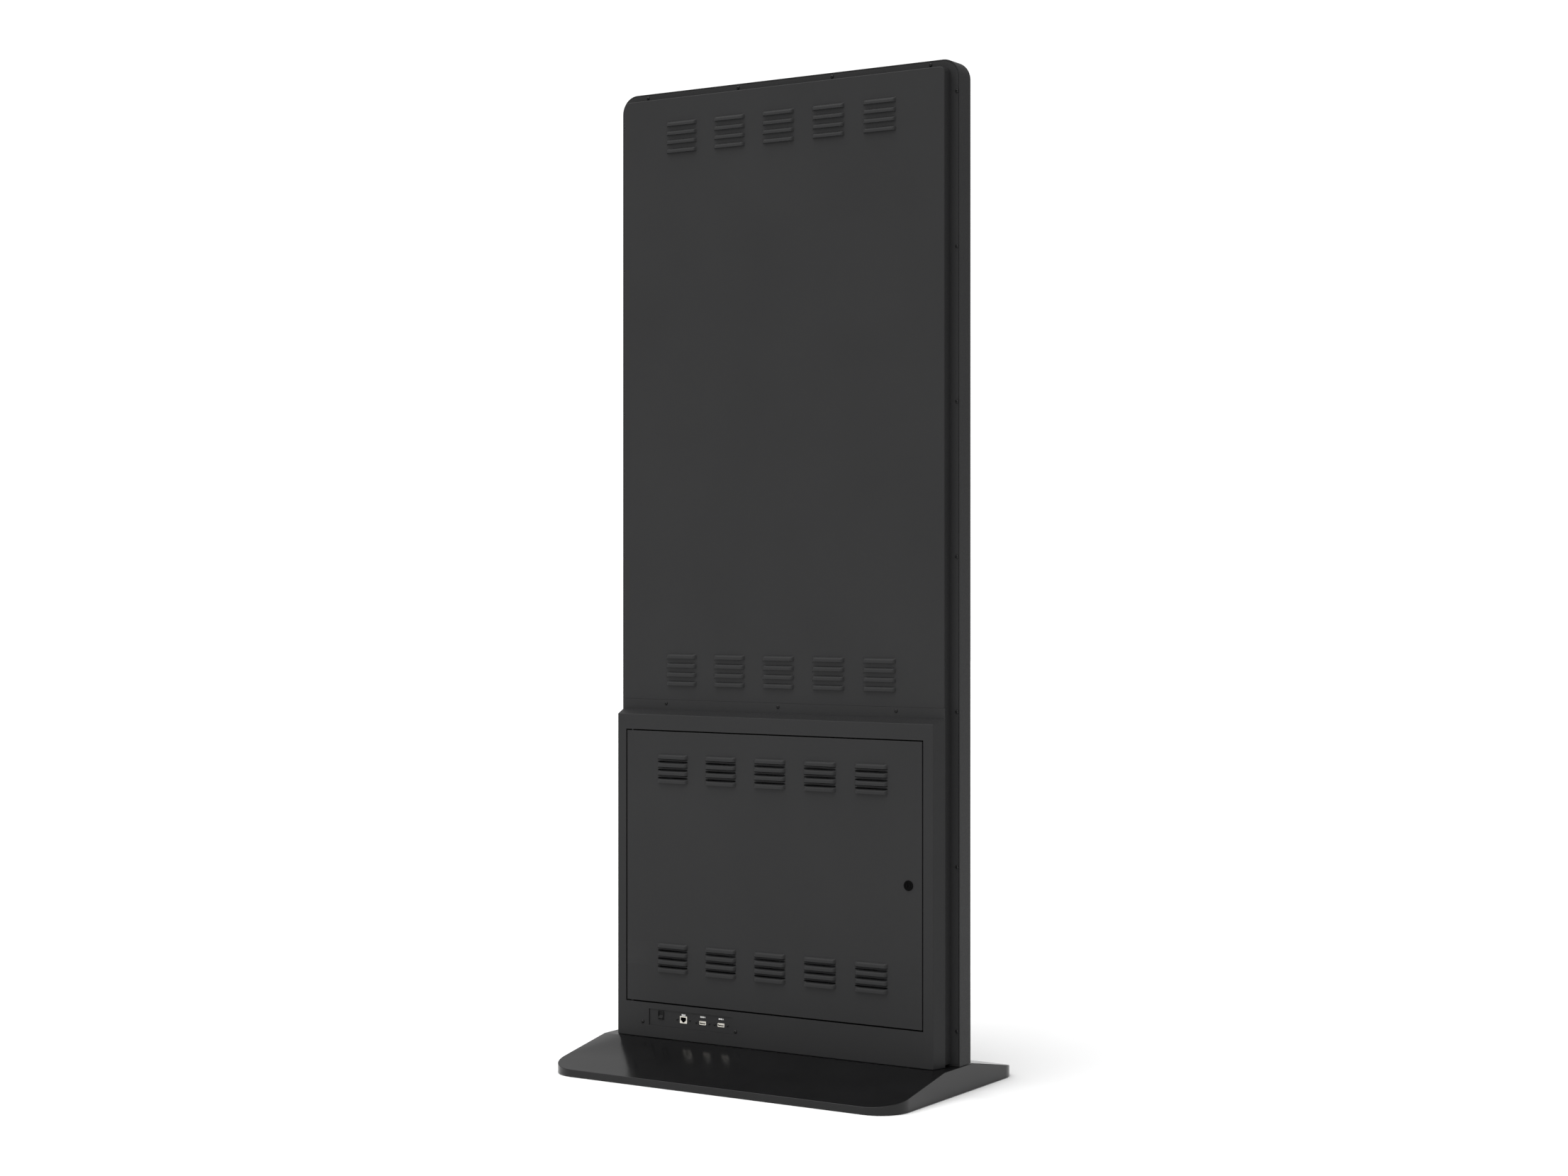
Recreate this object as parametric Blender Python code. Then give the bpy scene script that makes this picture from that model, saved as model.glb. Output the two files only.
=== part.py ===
"""Free-standing touchscreen kiosk: a slim portrait display on a weighted base.

Metres, +Z up.  The origin is under the middle of the base, the screen looks along -Y
and the service cabinet, with its louvred door, is at the back, towards +Y.
"""

import math

import bmesh
import bpy
from mathutils import Matrix, Vector

# ---- Fits and stock -------------------------------------------------------------------
FIT = 0.0003                 # gap between pieces that touch
SHEET = 0.0015               # steel sheet of the cover, cabinet and door
ARC_STEPS = 8                # facets in a rounded corner
SMOOTH_ANGLE = math.radians(35.0)   # sharper edges of a turned piece stay sharp

# ---- Body -----------------------------------------------------------------------------
BODY_WIDTH = 0.760
BODY_TOP = 1.900
FRONT_Y = -0.0475            # face of the glass
FRAME_DEPTH = 0.042          # front frame, glass face to rear rim
FRAME_WALL = 0.0025
FRAME_LEDGE = 0.0165         # width of the two inner ledges of the frame
FRAME_EDGE = 0.0008          # chamfer on the outer edges
CORNER_RADIUS = 0.035        # top corners, seen from the front

GLASS_THICKNESS = 0.004
SCREEN_SIDE_BORDER = 0.0398   # black border of the glass beside the active area
SCREEN_TOP_BORDER = 0.0452
SCREEN_WIDTH = BODY_WIDTH - 2 * SCREEN_SIDE_BORDER   # 55 inch portrait panel
SCREEN_HEIGHT = SCREEN_WIDTH * 16 / 9
SCREEN_MIDDLE = BODY_TOP - SCREEN_TOP_BORDER - SCREEN_HEIGHT / 2
MODULE_BORDER = 0.0148       # bezel of the display module round the active area
MODULE_THICKNESS = 0.014
GASKET_WIDTH = 0.010
GASKET_THICKNESS = 0.0016

# ---- Rear cover -----------------------------------------------------------------------
COVER_DEPTH = 0.0225         # rear cover behind the rim
COVER_SIDE_MARGIN = 0.020    # rim left bare beside the cover
COVER_TOP_MARGIN = 0.017
COVER_CORNER = 0.010
COVER_EDGE = 0.001
ACCESS_SIDE = 0.060          # cover left beside the hole behind the cabinet
ACCESS_BOTTOM = 0.072

# ---- Cabinet --------------------------------------------------------------------------
CABINET_SIDE_MARGIN = 0.02625 # body past the cabinet's flat back on each side
CABINET_TOP = 0.6795         # top edge of the flat back
ACCESS_DROP = 0.0175         # top of the access hole, below the cabinet's top
CABINET_DEPTH = 0.0305       # behind the rear cover
CABINET_FLARE = 0.0085       # sides and top widen towards the cover
CABINET_RETURN = 0.016       # turned-in edge that lies on the cover
LAP_HEIGHT = 0.0195          # screwed lap above the cabinet
LAP_THICKNESS = 0.001

# ---- Door -----------------------------------------------------------------------------
DOOR_SIDE_BORDER = 0.02275   # cabinet back left beside the door
DOOR_TOP_BORDER = 0.0321
DOOR_OFFSET = 0.0004         # middle of the door, from the middle of the body
DOOR_BOTTOM = 0.1201
DOOR_GAP = 0.0025
DOOR_RETURN = 0.012          # depth of the folded edge
JAMB_DEPTH = 0.014
PIVOT_INSET = 0.010          # pivot from the door's hinge edge
PIVOT_DEPTH = 0.0055         # pivot behind the door's face
PIN_RADIUS = 0.002
PIN_COLLAR_RADIUS = 0.0034
PIN_COLLAR_HEIGHT = 0.002
PIN_REACH = 0.005            # how far a pin runs into the door

# ---- Louvres --------------------------------------------------------------------------
LOUVRE_LENGTH = 0.070
LOUVRE_HEIGHT = 0.009
LOUVRE_DEPTH = 0.0055
LOUVRE_WALL = 0.0011
LOUVRE_FLANK = 0.005         # slope at each end
LOUVRE_SHOULDER = 0.0045     # height of the slope at the top
LOUVRE_GROUPS = 5
LOUVRE_MARGIN = 0.2025       # body width that the spacing of the groups leaves out
LOUVRE_SPACING = (BODY_WIDTH - LOUVRE_MARGIN) / LOUVRE_GROUPS
LOUVRES_IN_GROUP = 4
COVER_LOUVRE_PITCH = 0.0175
DOOR_LOUVRE_PITCH = 0.0157
COVER_UPPER_LOUVRES = 0.0635 # top louvre, below the top of the body
COVER_LOWER_LOUVRES = 0.1180 # top louvre, above the top of the cabinet
DOOR_UPPER_LOUVRES = 0.0440  # top louvre, below the top of the door
DOOR_LOWER_LOUVRES = 0.1165  # top louvre, above the bottom of the door

# ---- Screws ---------------------------------------------------------------------------
SCREW_HEAD_RADIUS = 0.0034
SCREW_HEAD_HEIGHT = 0.0019
SCREW_RADIUS = 0.0016
SCREW_LENGTH = 0.006
SCREW_SOCKET_RADIUS = 0.0013
SCREW_SOCKET_DEPTH = 0.0011
RIM_SCREW_INSET = 0.0055     # side screws, from the edge of the body
TOP_SCREW_INSET = 0.0078     # top screws, from the top of the body
TOP_SCREWS = 4
TOP_SCREW_END = 0.0611       # outermost top screws, from the edge of the body
SIDE_SCREWS = 7
SIDE_SCREW_DROP = 0.0613     # highest side screw, below the top of the body
SIDE_SCREW_LOWEST = 0.1146
SIDE_SCREW_LAG = 0.0171      # the last one sits lower than the pitch gives
LAP_SCREW_END = 0.121        # outer lap screws, from the edge of the body
LAP_SCREWS = 3
LAP_SCREW_HEIGHT = 0.0208    # above the cabinet's top edge

# ---- Lock -----------------------------------------------------------------------------
LOCK_INSET = 0.0284          # axis, from the free edge of the door
LOCK_DROP = 0.00075          # axis, below the middle of the door
LOCK_FLANGE_RADIUS = 0.0095
LOCK_FLANGE_HEIGHT = 0.002
LOCK_BARREL_RADIUS = 0.008
LOCK_BARREL_LENGTH = 0.0143
LOCK_PLUG_RADIUS = 0.0055
LOCK_NECK_RADIUS = 0.003
LOCK_NUT_ACROSS = 0.022
LOCK_NUT_THICKNESS = 0.003
CAM_THICKNESS = 0.002
CAM_WIDTH = 0.014
CAM_REACH = 0.040            # tip of the cam from the lock's axis
KEYWAY_WIDTH = 0.0013
KEYWAY_HEIGHT = 0.0068
KEYWAY_DEPTH = 0.009

# ---- Connection plate -----------------------------------------------------------------
PLATE_INSET = 0.198          # middle of the plate, from the side of the body
PLATE_MIDDLE = BODY_WIDTH / 2 - PLATE_INSET
WINDOW_WIDTH = 0.194
WINDOW_BOTTOM = 0.0745
WINDOW_TOP = 0.1062
PLATE_BORDER = 0.020         # plate behind the window, past its ends
PLATE_RISE = 0.006           # plate past the window's top
PLATE_DROP = 0.010
PLATE_SCREW_X = (PLATE_MIDDLE - 0.1043, PLATE_MIDDLE + 0.1121)
PLATE_SCREW_Z = 0.0795
NETWORK_X = PLATE_MIDDLE + 0.0167
NETWORK_Z = 0.0909
NETWORK_WIDTH = 0.0165
NETWORK_HEIGHT = 0.0138
USB_X = (PLATE_MIDDLE - 0.0281, PLATE_MIDDLE - 0.0705)
USB_Z = 0.0887
USB_WIDTH = 0.0152
USB_HEIGHT = 0.0072
SOCKET_DEPTH = 0.016
SOCKET_PROUD = 0.0005        # socket mouth in front of the plate
SOCKET_EAR_THICKNESS = 0.0015
SOCKET_EAR_REACH = 0.019
SOCKET_WALL = 0.0011
SOCKET_SCREW_REACH = 0.0148
SWITCH_X = PLATE_MIDDLE + 0.0699
SWITCH_Z = 0.0957
SWITCH_WIDTH = 0.013
SWITCH_HEIGHT = 0.0176
SWITCH_LIP = 0.0009          # bezel past the hole in the plate
SWITCH_WALL = 0.0016
SWITCH_PROUD = 0.0015
SWITCH_DEPTH = 0.016
SWITCH_PIVOT_DEPTH = 0.0026  # rocker axle behind the bezel's face
ROCKER_TILT = 8.0            # degrees either side of level
ROCKER_FACE_ANGLE = 22.0     # slope of each half of the rocker's dished face
ROCKER_DISH = 0.0006         # middle of the face from the axle

# ---- Base -----------------------------------------------------------------------------
BASE_SIDE = 0.0015           # base past each side of the body
BASE_DEPTH = 0.490
BASE_HEIGHT = 0.050
BASE_EDGE_HEIGHT = 0.0144    # upright edge under the slopes
BASE_CORNER = 0.060
BASE_WALL = 0.003
PLATEAU_DEPTH = 0.1086
SKIRT_LIFT = 0.0012          # skirt clear of the floor
FOOT_RADIUS = 0.022
FOOT_HEIGHT = 0.003
FOOT_INSET = 0.075
BALLAST_THICKNESS = 0.010
BALLAST_STEP = 0.004         # the plate is thinner outside its raised middle
CABLE_HOLE_RADIUS = 0.016
GROMMET_WALL = 0.0064
GROMMET_LIP_REACH = 0.004    # lip past the hole in the plate
GROMMET_LIP_HEIGHT = 0.003
FOOT_CHAMFER = 0.0006

# ---- Inner frame and equipment --------------------------------------------------------
UPRIGHT_INSET = 0.080        # middle of an upright, from the side of the body
UPRIGHT_WIDTH = 0.040
UPRIGHT_DEPTH = 0.025
UPRIGHT_WALL = 0.002
UPRIGHT_DROP = 0.060         # top of the uprights, below the top of the body
UPRIGHT_FOOT_REACH = 0.022
UPRIGHT_FOOT_THICKNESS = 0.006
UPRIGHT_CLEARANCE = 0.001
RAIL_THICKNESS = 0.003
RAIL_HEIGHT = 0.040
RAIL_Z = (SCREEN_MIDDLE - 0.460, SCREEN_MIDDLE + 0.440)
TRAY_BOTTOM = 0.150
TRAY_TOP = CABINET_TOP - 0.0595
PLAYER_SIZE = (0.200, 0.034, 0.150)
PLAYER_PLACE = (0.045, 0.375)
SUPPLY_SIZE = (0.100, 0.032, 0.200)
SUPPLY_PLACE = (0.200 - BODY_WIDTH / 2, 0.330)
SPEAKER_SIZE = (0.090, 0.030, 0.060)
SPEAKER_X = BODY_WIDTH / 2 - 0.165
SPEAKER_Z = TRAY_TOP - 0.048
SPEAKER_CONE_RADIUS = 0.022
SPEAKER_CONE_DEPTH = 0.010
SPEAKER_RECESS = 0.001
CASE_EDGE = 0.002            # chamfer round the lid of a case
DRIVER_BOARD = (0.150, 0.0016, 0.200)
DRIVER_PLACE = (0.0, SCREEN_MIDDLE)
TOUCH_BOARD = (0.060, 0.0016, 0.090)
TOUCH_PLACE = (0.0, SCREEN_MIDDLE - 0.345)
FAN_SIZE = 0.080
FAN_THICKNESS = 0.010
FAN_X = LOUVRE_SPACING
FAN_DROP = 0.097             # fan axis below the top of the body
FAN_TUNNEL_RADIUS = 0.0382
FAN_HUB_RADIUS = 0.014
FAN_BLADE_TIP = 0.0368
FAN_BLADES = 7
FAN_BLADE_PITCH = 32.0
FAN_BLADE_THICKNESS = 0.001
FAN_ROOT_CHORD = 0.00825
FAN_TIP_CHORD = 0.011
FAN_SPIDER = 0.0015          # thickness of the cross that carries the motor
FAN_ARM = 0.0044

# ---- Places that follow from the sizes above -------------------------------------------
RIM_Y = FRONT_Y + FRAME_DEPTH
COVER_Y = RIM_Y + COVER_DEPTH
BACK_Y = COVER_Y + CABINET_DEPTH
BODY_BOTTOM = BASE_HEIGHT + FIT
BASE_WIDTH = BODY_WIDTH + 2 * BASE_SIDE
CABINET_WIDTH = BODY_WIDTH - 2 * CABINET_SIDE_MARGIN
ACCESS_WIDTH = BODY_WIDTH - 2 * ACCESS_SIDE
ACCESS_TOP = CABINET_TOP - ACCESS_DROP
DOOR_WIDTH = CABINET_WIDTH - 2 * DOOR_SIDE_BORDER
DOOR_TOP = CABINET_TOP - DOOR_TOP_BORDER
DOOR_LEFT = DOOR_OFFSET + DOOR_WIDTH / 2
DOOR_RIGHT = DOOR_OFFSET - DOOR_WIDTH / 2
LOCK_X = DOOR_RIGHT + LOCK_INSET
LOCK_Z = (DOOR_BOTTOM + DOOR_TOP) / 2 - LOCK_DROP
TOP_SCREW_SPACING = (BODY_WIDTH - 2 * TOP_SCREW_END) / (TOP_SCREWS - 1)
LAP_SCREW_SPACING = BODY_WIDTH / 2 - LAP_SCREW_END
SIDE_SCREW_TOP = BODY_TOP - SIDE_SCREW_DROP
SIDE_SCREW_PITCH = (SIDE_SCREW_TOP - SIDE_SCREW_LOWEST - SIDE_SCREW_LAG) / (SIDE_SCREWS - 1)
WINDOW_LEFT = PLATE_MIDDLE - WINDOW_WIDTH / 2
WINDOW_RIGHT = PLATE_MIDDLE + WINDOW_WIDTH / 2
UPRIGHT_X = BODY_WIDTH / 2 - UPRIGHT_INSET
UPRIGHT_TOP = BODY_TOP - UPRIGHT_DROP
RAIL_LENGTH = 2 * UPRIGHT_X + UPRIGHT_WIDTH
PIVOT = Vector((DOOR_LEFT - PIVOT_INSET, BACK_Y - PIVOT_DEPTH, 0.0))
GLASS_INSET = FRAME_WALL + FIT
GLASS_BACK = FRONT_Y + GLASS_THICKNESS
LEDGE_FRONT = GLASS_BACK + FIT
GASKET_Y = GLASS_BACK + FIT
MODULE_FRONT = GASKET_Y + GASKET_THICKNESS + FIT
MODULE_BACK = MODULE_FRONT + MODULE_THICKNESS
RAIL_FRONT = MODULE_BACK + FIT
UPRIGHT_FRONT = RAIL_FRONT + RAIL_THICKNESS + FIT
UPRIGHT_BACK = UPRIGHT_FRONT + UPRIGHT_DEPTH
TRAY_BACK = UPRIGHT_BACK + FIT + SHEET
BALLAST_TOP = FOOT_HEIGHT + BALLAST_THICKNESS
PLATE_FRONT = BACK_Y - SHEET - FIT
FAN_BACK = COVER_Y - SHEET - FIT
FAN_Z = BODY_TOP - FAN_DROP


# ---- Mesh helpers -----------------------------------------------------------------------
def clear_scene():
    """Remove whatever the scene holds."""
    for item in list(bpy.data.objects):
        bpy.data.objects.remove(item, do_unlink=True)


def finish(name, shape, material, origin=(0.0, 0.0, 0.0)):
    """Make an object of a bmesh drawn in world place, with its origin where asked."""
    bmesh.ops.translate(shape, verts=shape.verts, vec=-Vector(origin))
    bmesh.ops.recalc_face_normals(shape, faces=shape.faces)
    mesh = bpy.data.meshes.new(name)
    shape.to_mesh(mesh)
    shape.free()
    item = bpy.data.objects.new(name, mesh)
    item.location = origin
    bpy.context.collection.objects.link(item)
    if material is not None:
        mesh.materials.append(material)
    return item


def add_loft(shape, rings, closed=False):
    """Skin a row of rings with equal counts; open rows get flat ends."""
    loops = [[shape.verts.new(point) for point in ring] for ring in rings]
    pairs = list(zip(loops, loops[1:]))
    if closed:
        pairs.append((loops[-1], loops[0]))
    for first, second in pairs:
        for index in range(len(first)):
            after = (index + 1) % len(first)
            shape.faces.new((first[index], first[after], second[after], second[index]))
    if not closed:
        shape.faces.new(list(reversed(loops[0])))
        shape.faces.new(loops[-1])


def loft(name, rings, material, closed=False, origin=(0.0, 0.0, 0.0)):
    shape = bmesh.new()
    add_loft(shape, rings, closed)
    return finish(name, shape, material, origin)


def box_rings(low, high):
    """Two rings, low Y and high Y, of a box."""
    corners = ((low[0], low[2]), (high[0], low[2]), (high[0], high[2]), (low[0], high[2]))
    return [[(x, y, z) for x, z in corners] for y in (low[1], high[1])]


def box(name, low, high, material=None, origin=(0.0, 0.0, 0.0)):
    return loft(name, box_rings(low, high), material, origin=origin)


def upright_ring(half_width, bottom, top, radius, y):
    """Outline in a plane of constant Y: square foot, rounded top corners."""
    points = [(-half_width, y, bottom), (half_width, y, bottom)]
    for side, start in ((1, 0.0), (-1, 90.0)):
        for step in range(ARC_STEPS + 1):
            angle = math.radians(start + 90.0 * step / ARC_STEPS)
            x = side * (half_width - radius) + radius * math.cos(angle)
            points.append((x, y, top - radius + radius * math.sin(angle)))
    return points


def body_ring(inset, y):
    """The body's outline, moved inwards by the inset."""
    return upright_ring(
        BODY_WIDTH / 2 - inset, BODY_BOTTOM + inset, BODY_TOP - inset, CORNER_RADIUS - inset, y)


def circle(radius, place, axis, sides):
    """Ring of points round the named axis, at a point on that axis."""
    points = []
    for step in range(sides):
        angle = 2 * math.pi * step / sides
        across, up = radius * math.cos(angle), radius * math.sin(angle)
        turned = {"X": (0, across, up), "Y": (across, 0, up), "Z": (across, up, 0)}[axis]
        points.append(Vector(place) + Vector(turned))
    return points


def turned(name, profile, centre, axis, sides, material, closed=False, origin=None):
    """Round piece from (radius, distance along the axis) pairs."""
    along = Vector({"X": (1, 0, 0), "Y": (0, 1, 0), "Z": (0, 0, 1)}[axis])
    rings = [circle(radius, Vector(centre) + along * station, axis, sides)
             for radius, station in profile]
    item = loft(name, rings, material, closed, centre if origin is None else origin)
    item.data.shade_smooth()
    item.data.set_sharp_from_angle(angle=SMOOTH_ANGLE)
    return item


def combine(target, tool, operation="DIFFERENCE"):
    """Cut or join with a second object, which stays as a hidden guide."""
    modifier = target.modifiers.new(tool.name, "BOOLEAN")
    modifier.operation = operation
    modifier.solver = "EXACT"
    modifier.object = tool
    tool.hide_render = True
    tool.display_type = "WIRE"


def carve(target, cuts):
    """Take a whole set of cuts out of a piece at once."""
    combine(target, finish(target.name + "_cuts", cuts, None))


def cut_box(target, name, low, high):
    combine(target, box(target.name + "_" + name, low, high))


def cut_round(target, name, radius, centre, axis, half_length, sides=16):
    tool = turned(target.name + "_" + name, ((radius, -half_length), (radius, half_length)),
                  centre, axis, sides, None)
    combine(target, tool)


def ride_on(item, carrier):
    """Parent a piece to the one that carries it, leaving it in place."""
    item.parent = carrier
    item.matrix_parent_inverse = Matrix.Translation(-carrier.location)


def make_material(name, colour, roughness, metallic=0.0):
    material = bpy.data.materials.new(name)
    material.use_nodes = True
    shader = material.node_tree.nodes["Principled BSDF"]
    shader.inputs["Base Color"].default_value = (*colour, 1.0)
    shader.inputs["Roughness"].default_value = roughness
    shader.inputs["Metallic"].default_value = metallic
    return material


def make_materials():
    return {
        "coat": make_material("charcoal_powder_coat", (0.035, 0.035, 0.036), 0.5),
        "gloss": make_material("gloss_black_base", (0.012, 0.012, 0.013), 0.12),
        "glass": make_material("black_glass", (0.004, 0.004, 0.005), 0.03),
        "screen": make_material("display", (0.010, 0.011, 0.013), 0.25),
        "steel": make_material("black_zinc_steel", (0.050, 0.051, 0.054), 0.42, 0.8),
        "black_steel": make_material("black_screw", (0.02, 0.02, 0.02), 0.3, 1.0),
        "lock": make_material("lock_black", (0.004, 0.004, 0.004), 0.45),
        "rubber": make_material("black_rubber", (0.015, 0.015, 0.015), 0.8),
        "plastic": make_material("black_plastic", (0.010, 0.010, 0.010), 0.4),
        "port": make_material("port_shell", (0.72, 0.70, 0.62), 0.4),
        "board": make_material("circuit_board", (0.015, 0.09, 0.04), 0.5),
        "grey": make_material("grey_case", (0.10, 0.10, 0.11), 0.45, 0.6),
    }


# ---- Louvres --------------------------------------------------------------------------
def louvre_places(upper_edge, pitch):
    """Middle and top edge of each louvre in one row of groups."""
    for group in range(LOUVRE_GROUPS):
        middle = (group - (LOUVRE_GROUPS - 1) / 2) * LOUVRE_SPACING
        for index in range(LOUVRES_IN_GROUP):
            yield middle, upper_edge - index * pitch


def hood_rings(middle, top, surface):
    """Outside of one pressed hood, rooted in the sheet."""
    half = LOUVRE_LENGTH / 2
    bottom = top - LOUVRE_HEIGHT
    root = box_rings((middle - half, surface - SHEET / 2, bottom), (middle + half, surface, top))
    crown = box_rings((middle - half + LOUVRE_FLANK, surface, bottom),
                      (middle + half - LOUVRE_FLANK, surface + LOUVRE_DEPTH, top - LOUVRE_SHOULDER))
    return [root[0], crown[1]]


def slot_rings(middle, top, surface):
    """Inside of one hood, running back through the sheet and out under the lip."""
    half = LOUVRE_LENGTH / 2 - 2 * LOUVRE_WALL
    bottom = top - LOUVRE_HEIGHT - SHEET / 3
    mouth = box_rings((middle - half, surface - 2 * SHEET, bottom),
                      (middle + half, surface, top - 2 * LOUVRE_WALL))
    inset = LOUVRE_FLANK - LOUVRE_WALL
    crown = box_rings((middle - half + inset, surface, bottom),
                      (middle + half - inset, surface + LOUVRE_DEPTH - LOUVRE_WALL,
                       top - LOUVRE_SHOULDER - LOUVRE_WALL))
    return [mouth[0], mouth[1], crown[1]]


def press_louvres(panel, cuts, places, surface):
    """Raise all the hoods on a panel, and add what opens them to its cuts."""
    hoods = bmesh.new()
    for middle, top in places:
        add_loft(hoods, hood_rings(middle, top, surface))
        add_loft(cuts, slot_rings(middle, top, surface))
    combine(panel, finish(panel.name + "_hoods", hoods, None), "UNION")


# ---- Screws -----------------------------------------------------------------------------
def rim_screw_places():
    """X and Z of the screws that hold the rear cover to the frame."""
    first = -(TOP_SCREWS - 1) / 2
    places = [((first + index) * TOP_SCREW_SPACING, BODY_TOP - TOP_SCREW_INSET)
              for index in range(TOP_SCREWS)]
    for side in (-1, 1):
        for index in range(SIDE_SCREWS):
            height = SIDE_SCREW_TOP - index * SIDE_SCREW_PITCH
            if index == SIDE_SCREWS - 1:
                height = SIDE_SCREW_LOWEST
            places.append((side * (BODY_WIDTH / 2 - RIM_SCREW_INSET), height))
    return places


def lap_screw_places():
    return [((index - (LAP_SCREWS - 1) / 2) * LAP_SCREW_SPACING, CABINET_TOP + LAP_SCREW_HEIGHT)
            for index in range(LAP_SCREWS)]


def button_screw(name, x, z, seat, material):
    """Button-head screw driven along -Y, with a six-sided socket."""
    profile = ((SCREW_RADIUS, -SCREW_LENGTH), (SCREW_RADIUS, 0.0), (SCREW_HEAD_RADIUS, 0.0),
               (SCREW_HEAD_RADIUS, 0.3 * SCREW_HEAD_HEIGHT),
               (0.75 * SCREW_HEAD_RADIUS, 0.8 * SCREW_HEAD_HEIGHT),
               (SCREW_SOCKET_RADIUS, SCREW_HEAD_HEIGHT),
               (SCREW_SOCKET_RADIUS, SCREW_HEAD_HEIGHT - SCREW_SOCKET_DEPTH))
    return turned(name, profile, (x, seat + FIT, z), "Y", 12, material)


def add_screw_holes(cuts, places, y):
    """Clearance holes through one sheet for screws along Y."""
    for x, z in places:
        add_loft(cuts, [circle(SCREW_RADIUS + FIT, (x, y + side * 3 * SHEET, z), "Y", 12)
                        for side in (-1, 1)])


def make_rim_screws(materials):
    for number, (x, z) in enumerate(rim_screw_places(), start=1):
        button_screw("rim_screw_%02d" % number, x, z, RIM_Y, materials["black_steel"])


# ---- Base -------------------------------------------------------------------------------
def base_plan(inset, z):
    """Rounded plan of the base at one height."""
    radius = BASE_CORNER - inset
    points = []
    for quarter, (side_x, side_y) in enumerate(((1, 1), (-1, 1), (-1, -1), (1, -1))):
        for step in range(ARC_STEPS + 1):
            angle = math.radians(90 * quarter + 90 * step / ARC_STEPS)
            x = side_x * (BASE_WIDTH / 2 - BASE_CORNER) + radius * math.cos(angle)
            y = side_y * (BASE_DEPTH / 2 - BASE_CORNER) + radius * math.sin(angle)
            points.append((x, y, z))
    return points


def base_profile(drop, bottom, x):
    """Side view of the base: upright edges, two slopes and the flat top."""
    edge, top = BASE_DEPTH / 2 + BASE_WALL, BASE_HEIGHT - drop
    rise = (BASE_HEIGHT - BASE_EDGE_HEIGHT) / (BASE_DEPTH / 2 - PLATEAU_DEPTH / 2)
    slope_edge = BASE_EDGE_HEIGHT - drop - rise * BASE_WALL
    half = PLATEAU_DEPTH / 2
    outline = ((-edge, bottom), (edge, bottom), (edge, slope_edge), (half, top),
               (-half, top), (-edge, slope_edge))
    return [(x, y, z) for y, z in outline]


def base_solid(name, inset, drop, bottom, material):
    """The plan pulled up as a prism and trimmed by the side view."""
    plan = loft(name, [base_plan(inset, bottom), base_plan(inset, BASE_HEIGHT + BASE_WALL)],
                material)
    reach = BASE_WIDTH / 2 + BASE_WALL
    trim = loft(name + "_trim", [base_profile(drop, bottom - BASE_WALL, -reach),
                                 base_profile(drop, bottom - BASE_WALL, reach)], None)
    combine(plan, trim, "INTERSECT")
    return plan


def upright_box(side, clearance, bottom, top):
    """Room taken by one upright, grown by a clearance."""
    middle = side * UPRIGHT_X
    half = UPRIGHT_WIDTH / 2 + clearance
    return ((middle - half, UPRIGHT_FRONT - clearance, bottom),
            (middle + half, UPRIGHT_BACK + clearance, top))


def add_upright_holes(cuts, bottom, top):
    for side in (1, -1):
        add_loft(cuts, box_rings(*upright_box(side, UPRIGHT_CLEARANCE, bottom, top)))


def make_base(materials):
    plinth = base_solid("base_plinth", 0.0, 0.0, SKIRT_LIFT, materials["gloss"])
    hollow = base_solid("base_hollow", BASE_WALL, BASE_WALL, SKIRT_LIFT - BASE_WALL, None)
    combine(plinth, hollow)
    cuts = bmesh.new()
    add_upright_holes(cuts, BASE_HEIGHT - 2 * BASE_WALL, BASE_HEIGHT + BASE_WALL)
    add_loft(cuts, [circle(CABLE_HOLE_RADIUS, (0.0, 0.0, BASE_HEIGHT + side * 2 * BASE_WALL), "Z", 24)
                    for side in (-1, 1)])
    carve(plinth, cuts)

    inset = BASE_WALL + 3 * FIT
    rim_top = BALLAST_TOP - BALLAST_STEP
    plate = loft("base_plate", [base_plan(inset, FOOT_HEIGHT), base_plan(inset, rim_top)],
                 materials["steel"])
    half_width, half_depth = BASE_WIDTH / 2 - BASE_CORNER, BASE_DEPTH / 2 - BASE_CORNER
    raised = box("base_plate_raised", (-half_width, -half_depth, rim_top - BALLAST_STEP / 2),
                 (half_width, half_depth, BALLAST_TOP))
    combine(plate, raised, "UNION")
    cut_round(plate, "cable_hole", CABLE_HOLE_RADIUS, (0.0, 0.0, FOOT_HEIGHT), "Z", BALLAST_TOP)

    bore, neck = CABLE_HOLE_RADIUS - GROMMET_WALL, CABLE_HOLE_RADIUS - FIT
    lip, lip_top = CABLE_HOLE_RADIUS + GROMMET_LIP_REACH, BALLAST_TOP + GROMMET_LIP_HEIGHT
    grommet = ((bore, FOOT_HEIGHT), (neck, FOOT_HEIGHT), (neck, BALLAST_TOP + FIT),
               (lip, BALLAST_TOP + FIT), (lip, lip_top), (bore, lip_top))
    turned("cable_grommet", grommet, (0.0, 0.0, 0.0), "Z", 24, materials["rubber"], closed=True)

    foot = ((FOOT_RADIUS - 2 * FOOT_CHAMFER, 0.0), (FOOT_RADIUS, FOOT_CHAMFER),
            (FOOT_RADIUS, FOOT_HEIGHT - FIT))
    number = 0
    for side_x in (1, -1):
        for side_y in (1, -1):
            number += 1
            x, y = side_x * (BASE_WIDTH / 2 - FOOT_INSET), side_y * (BASE_DEPTH / 2 - FOOT_INSET)
            turned("foot_pad_%d" % number, foot, (x, y, 0.0), "Z", 24, materials["rubber"])


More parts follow.
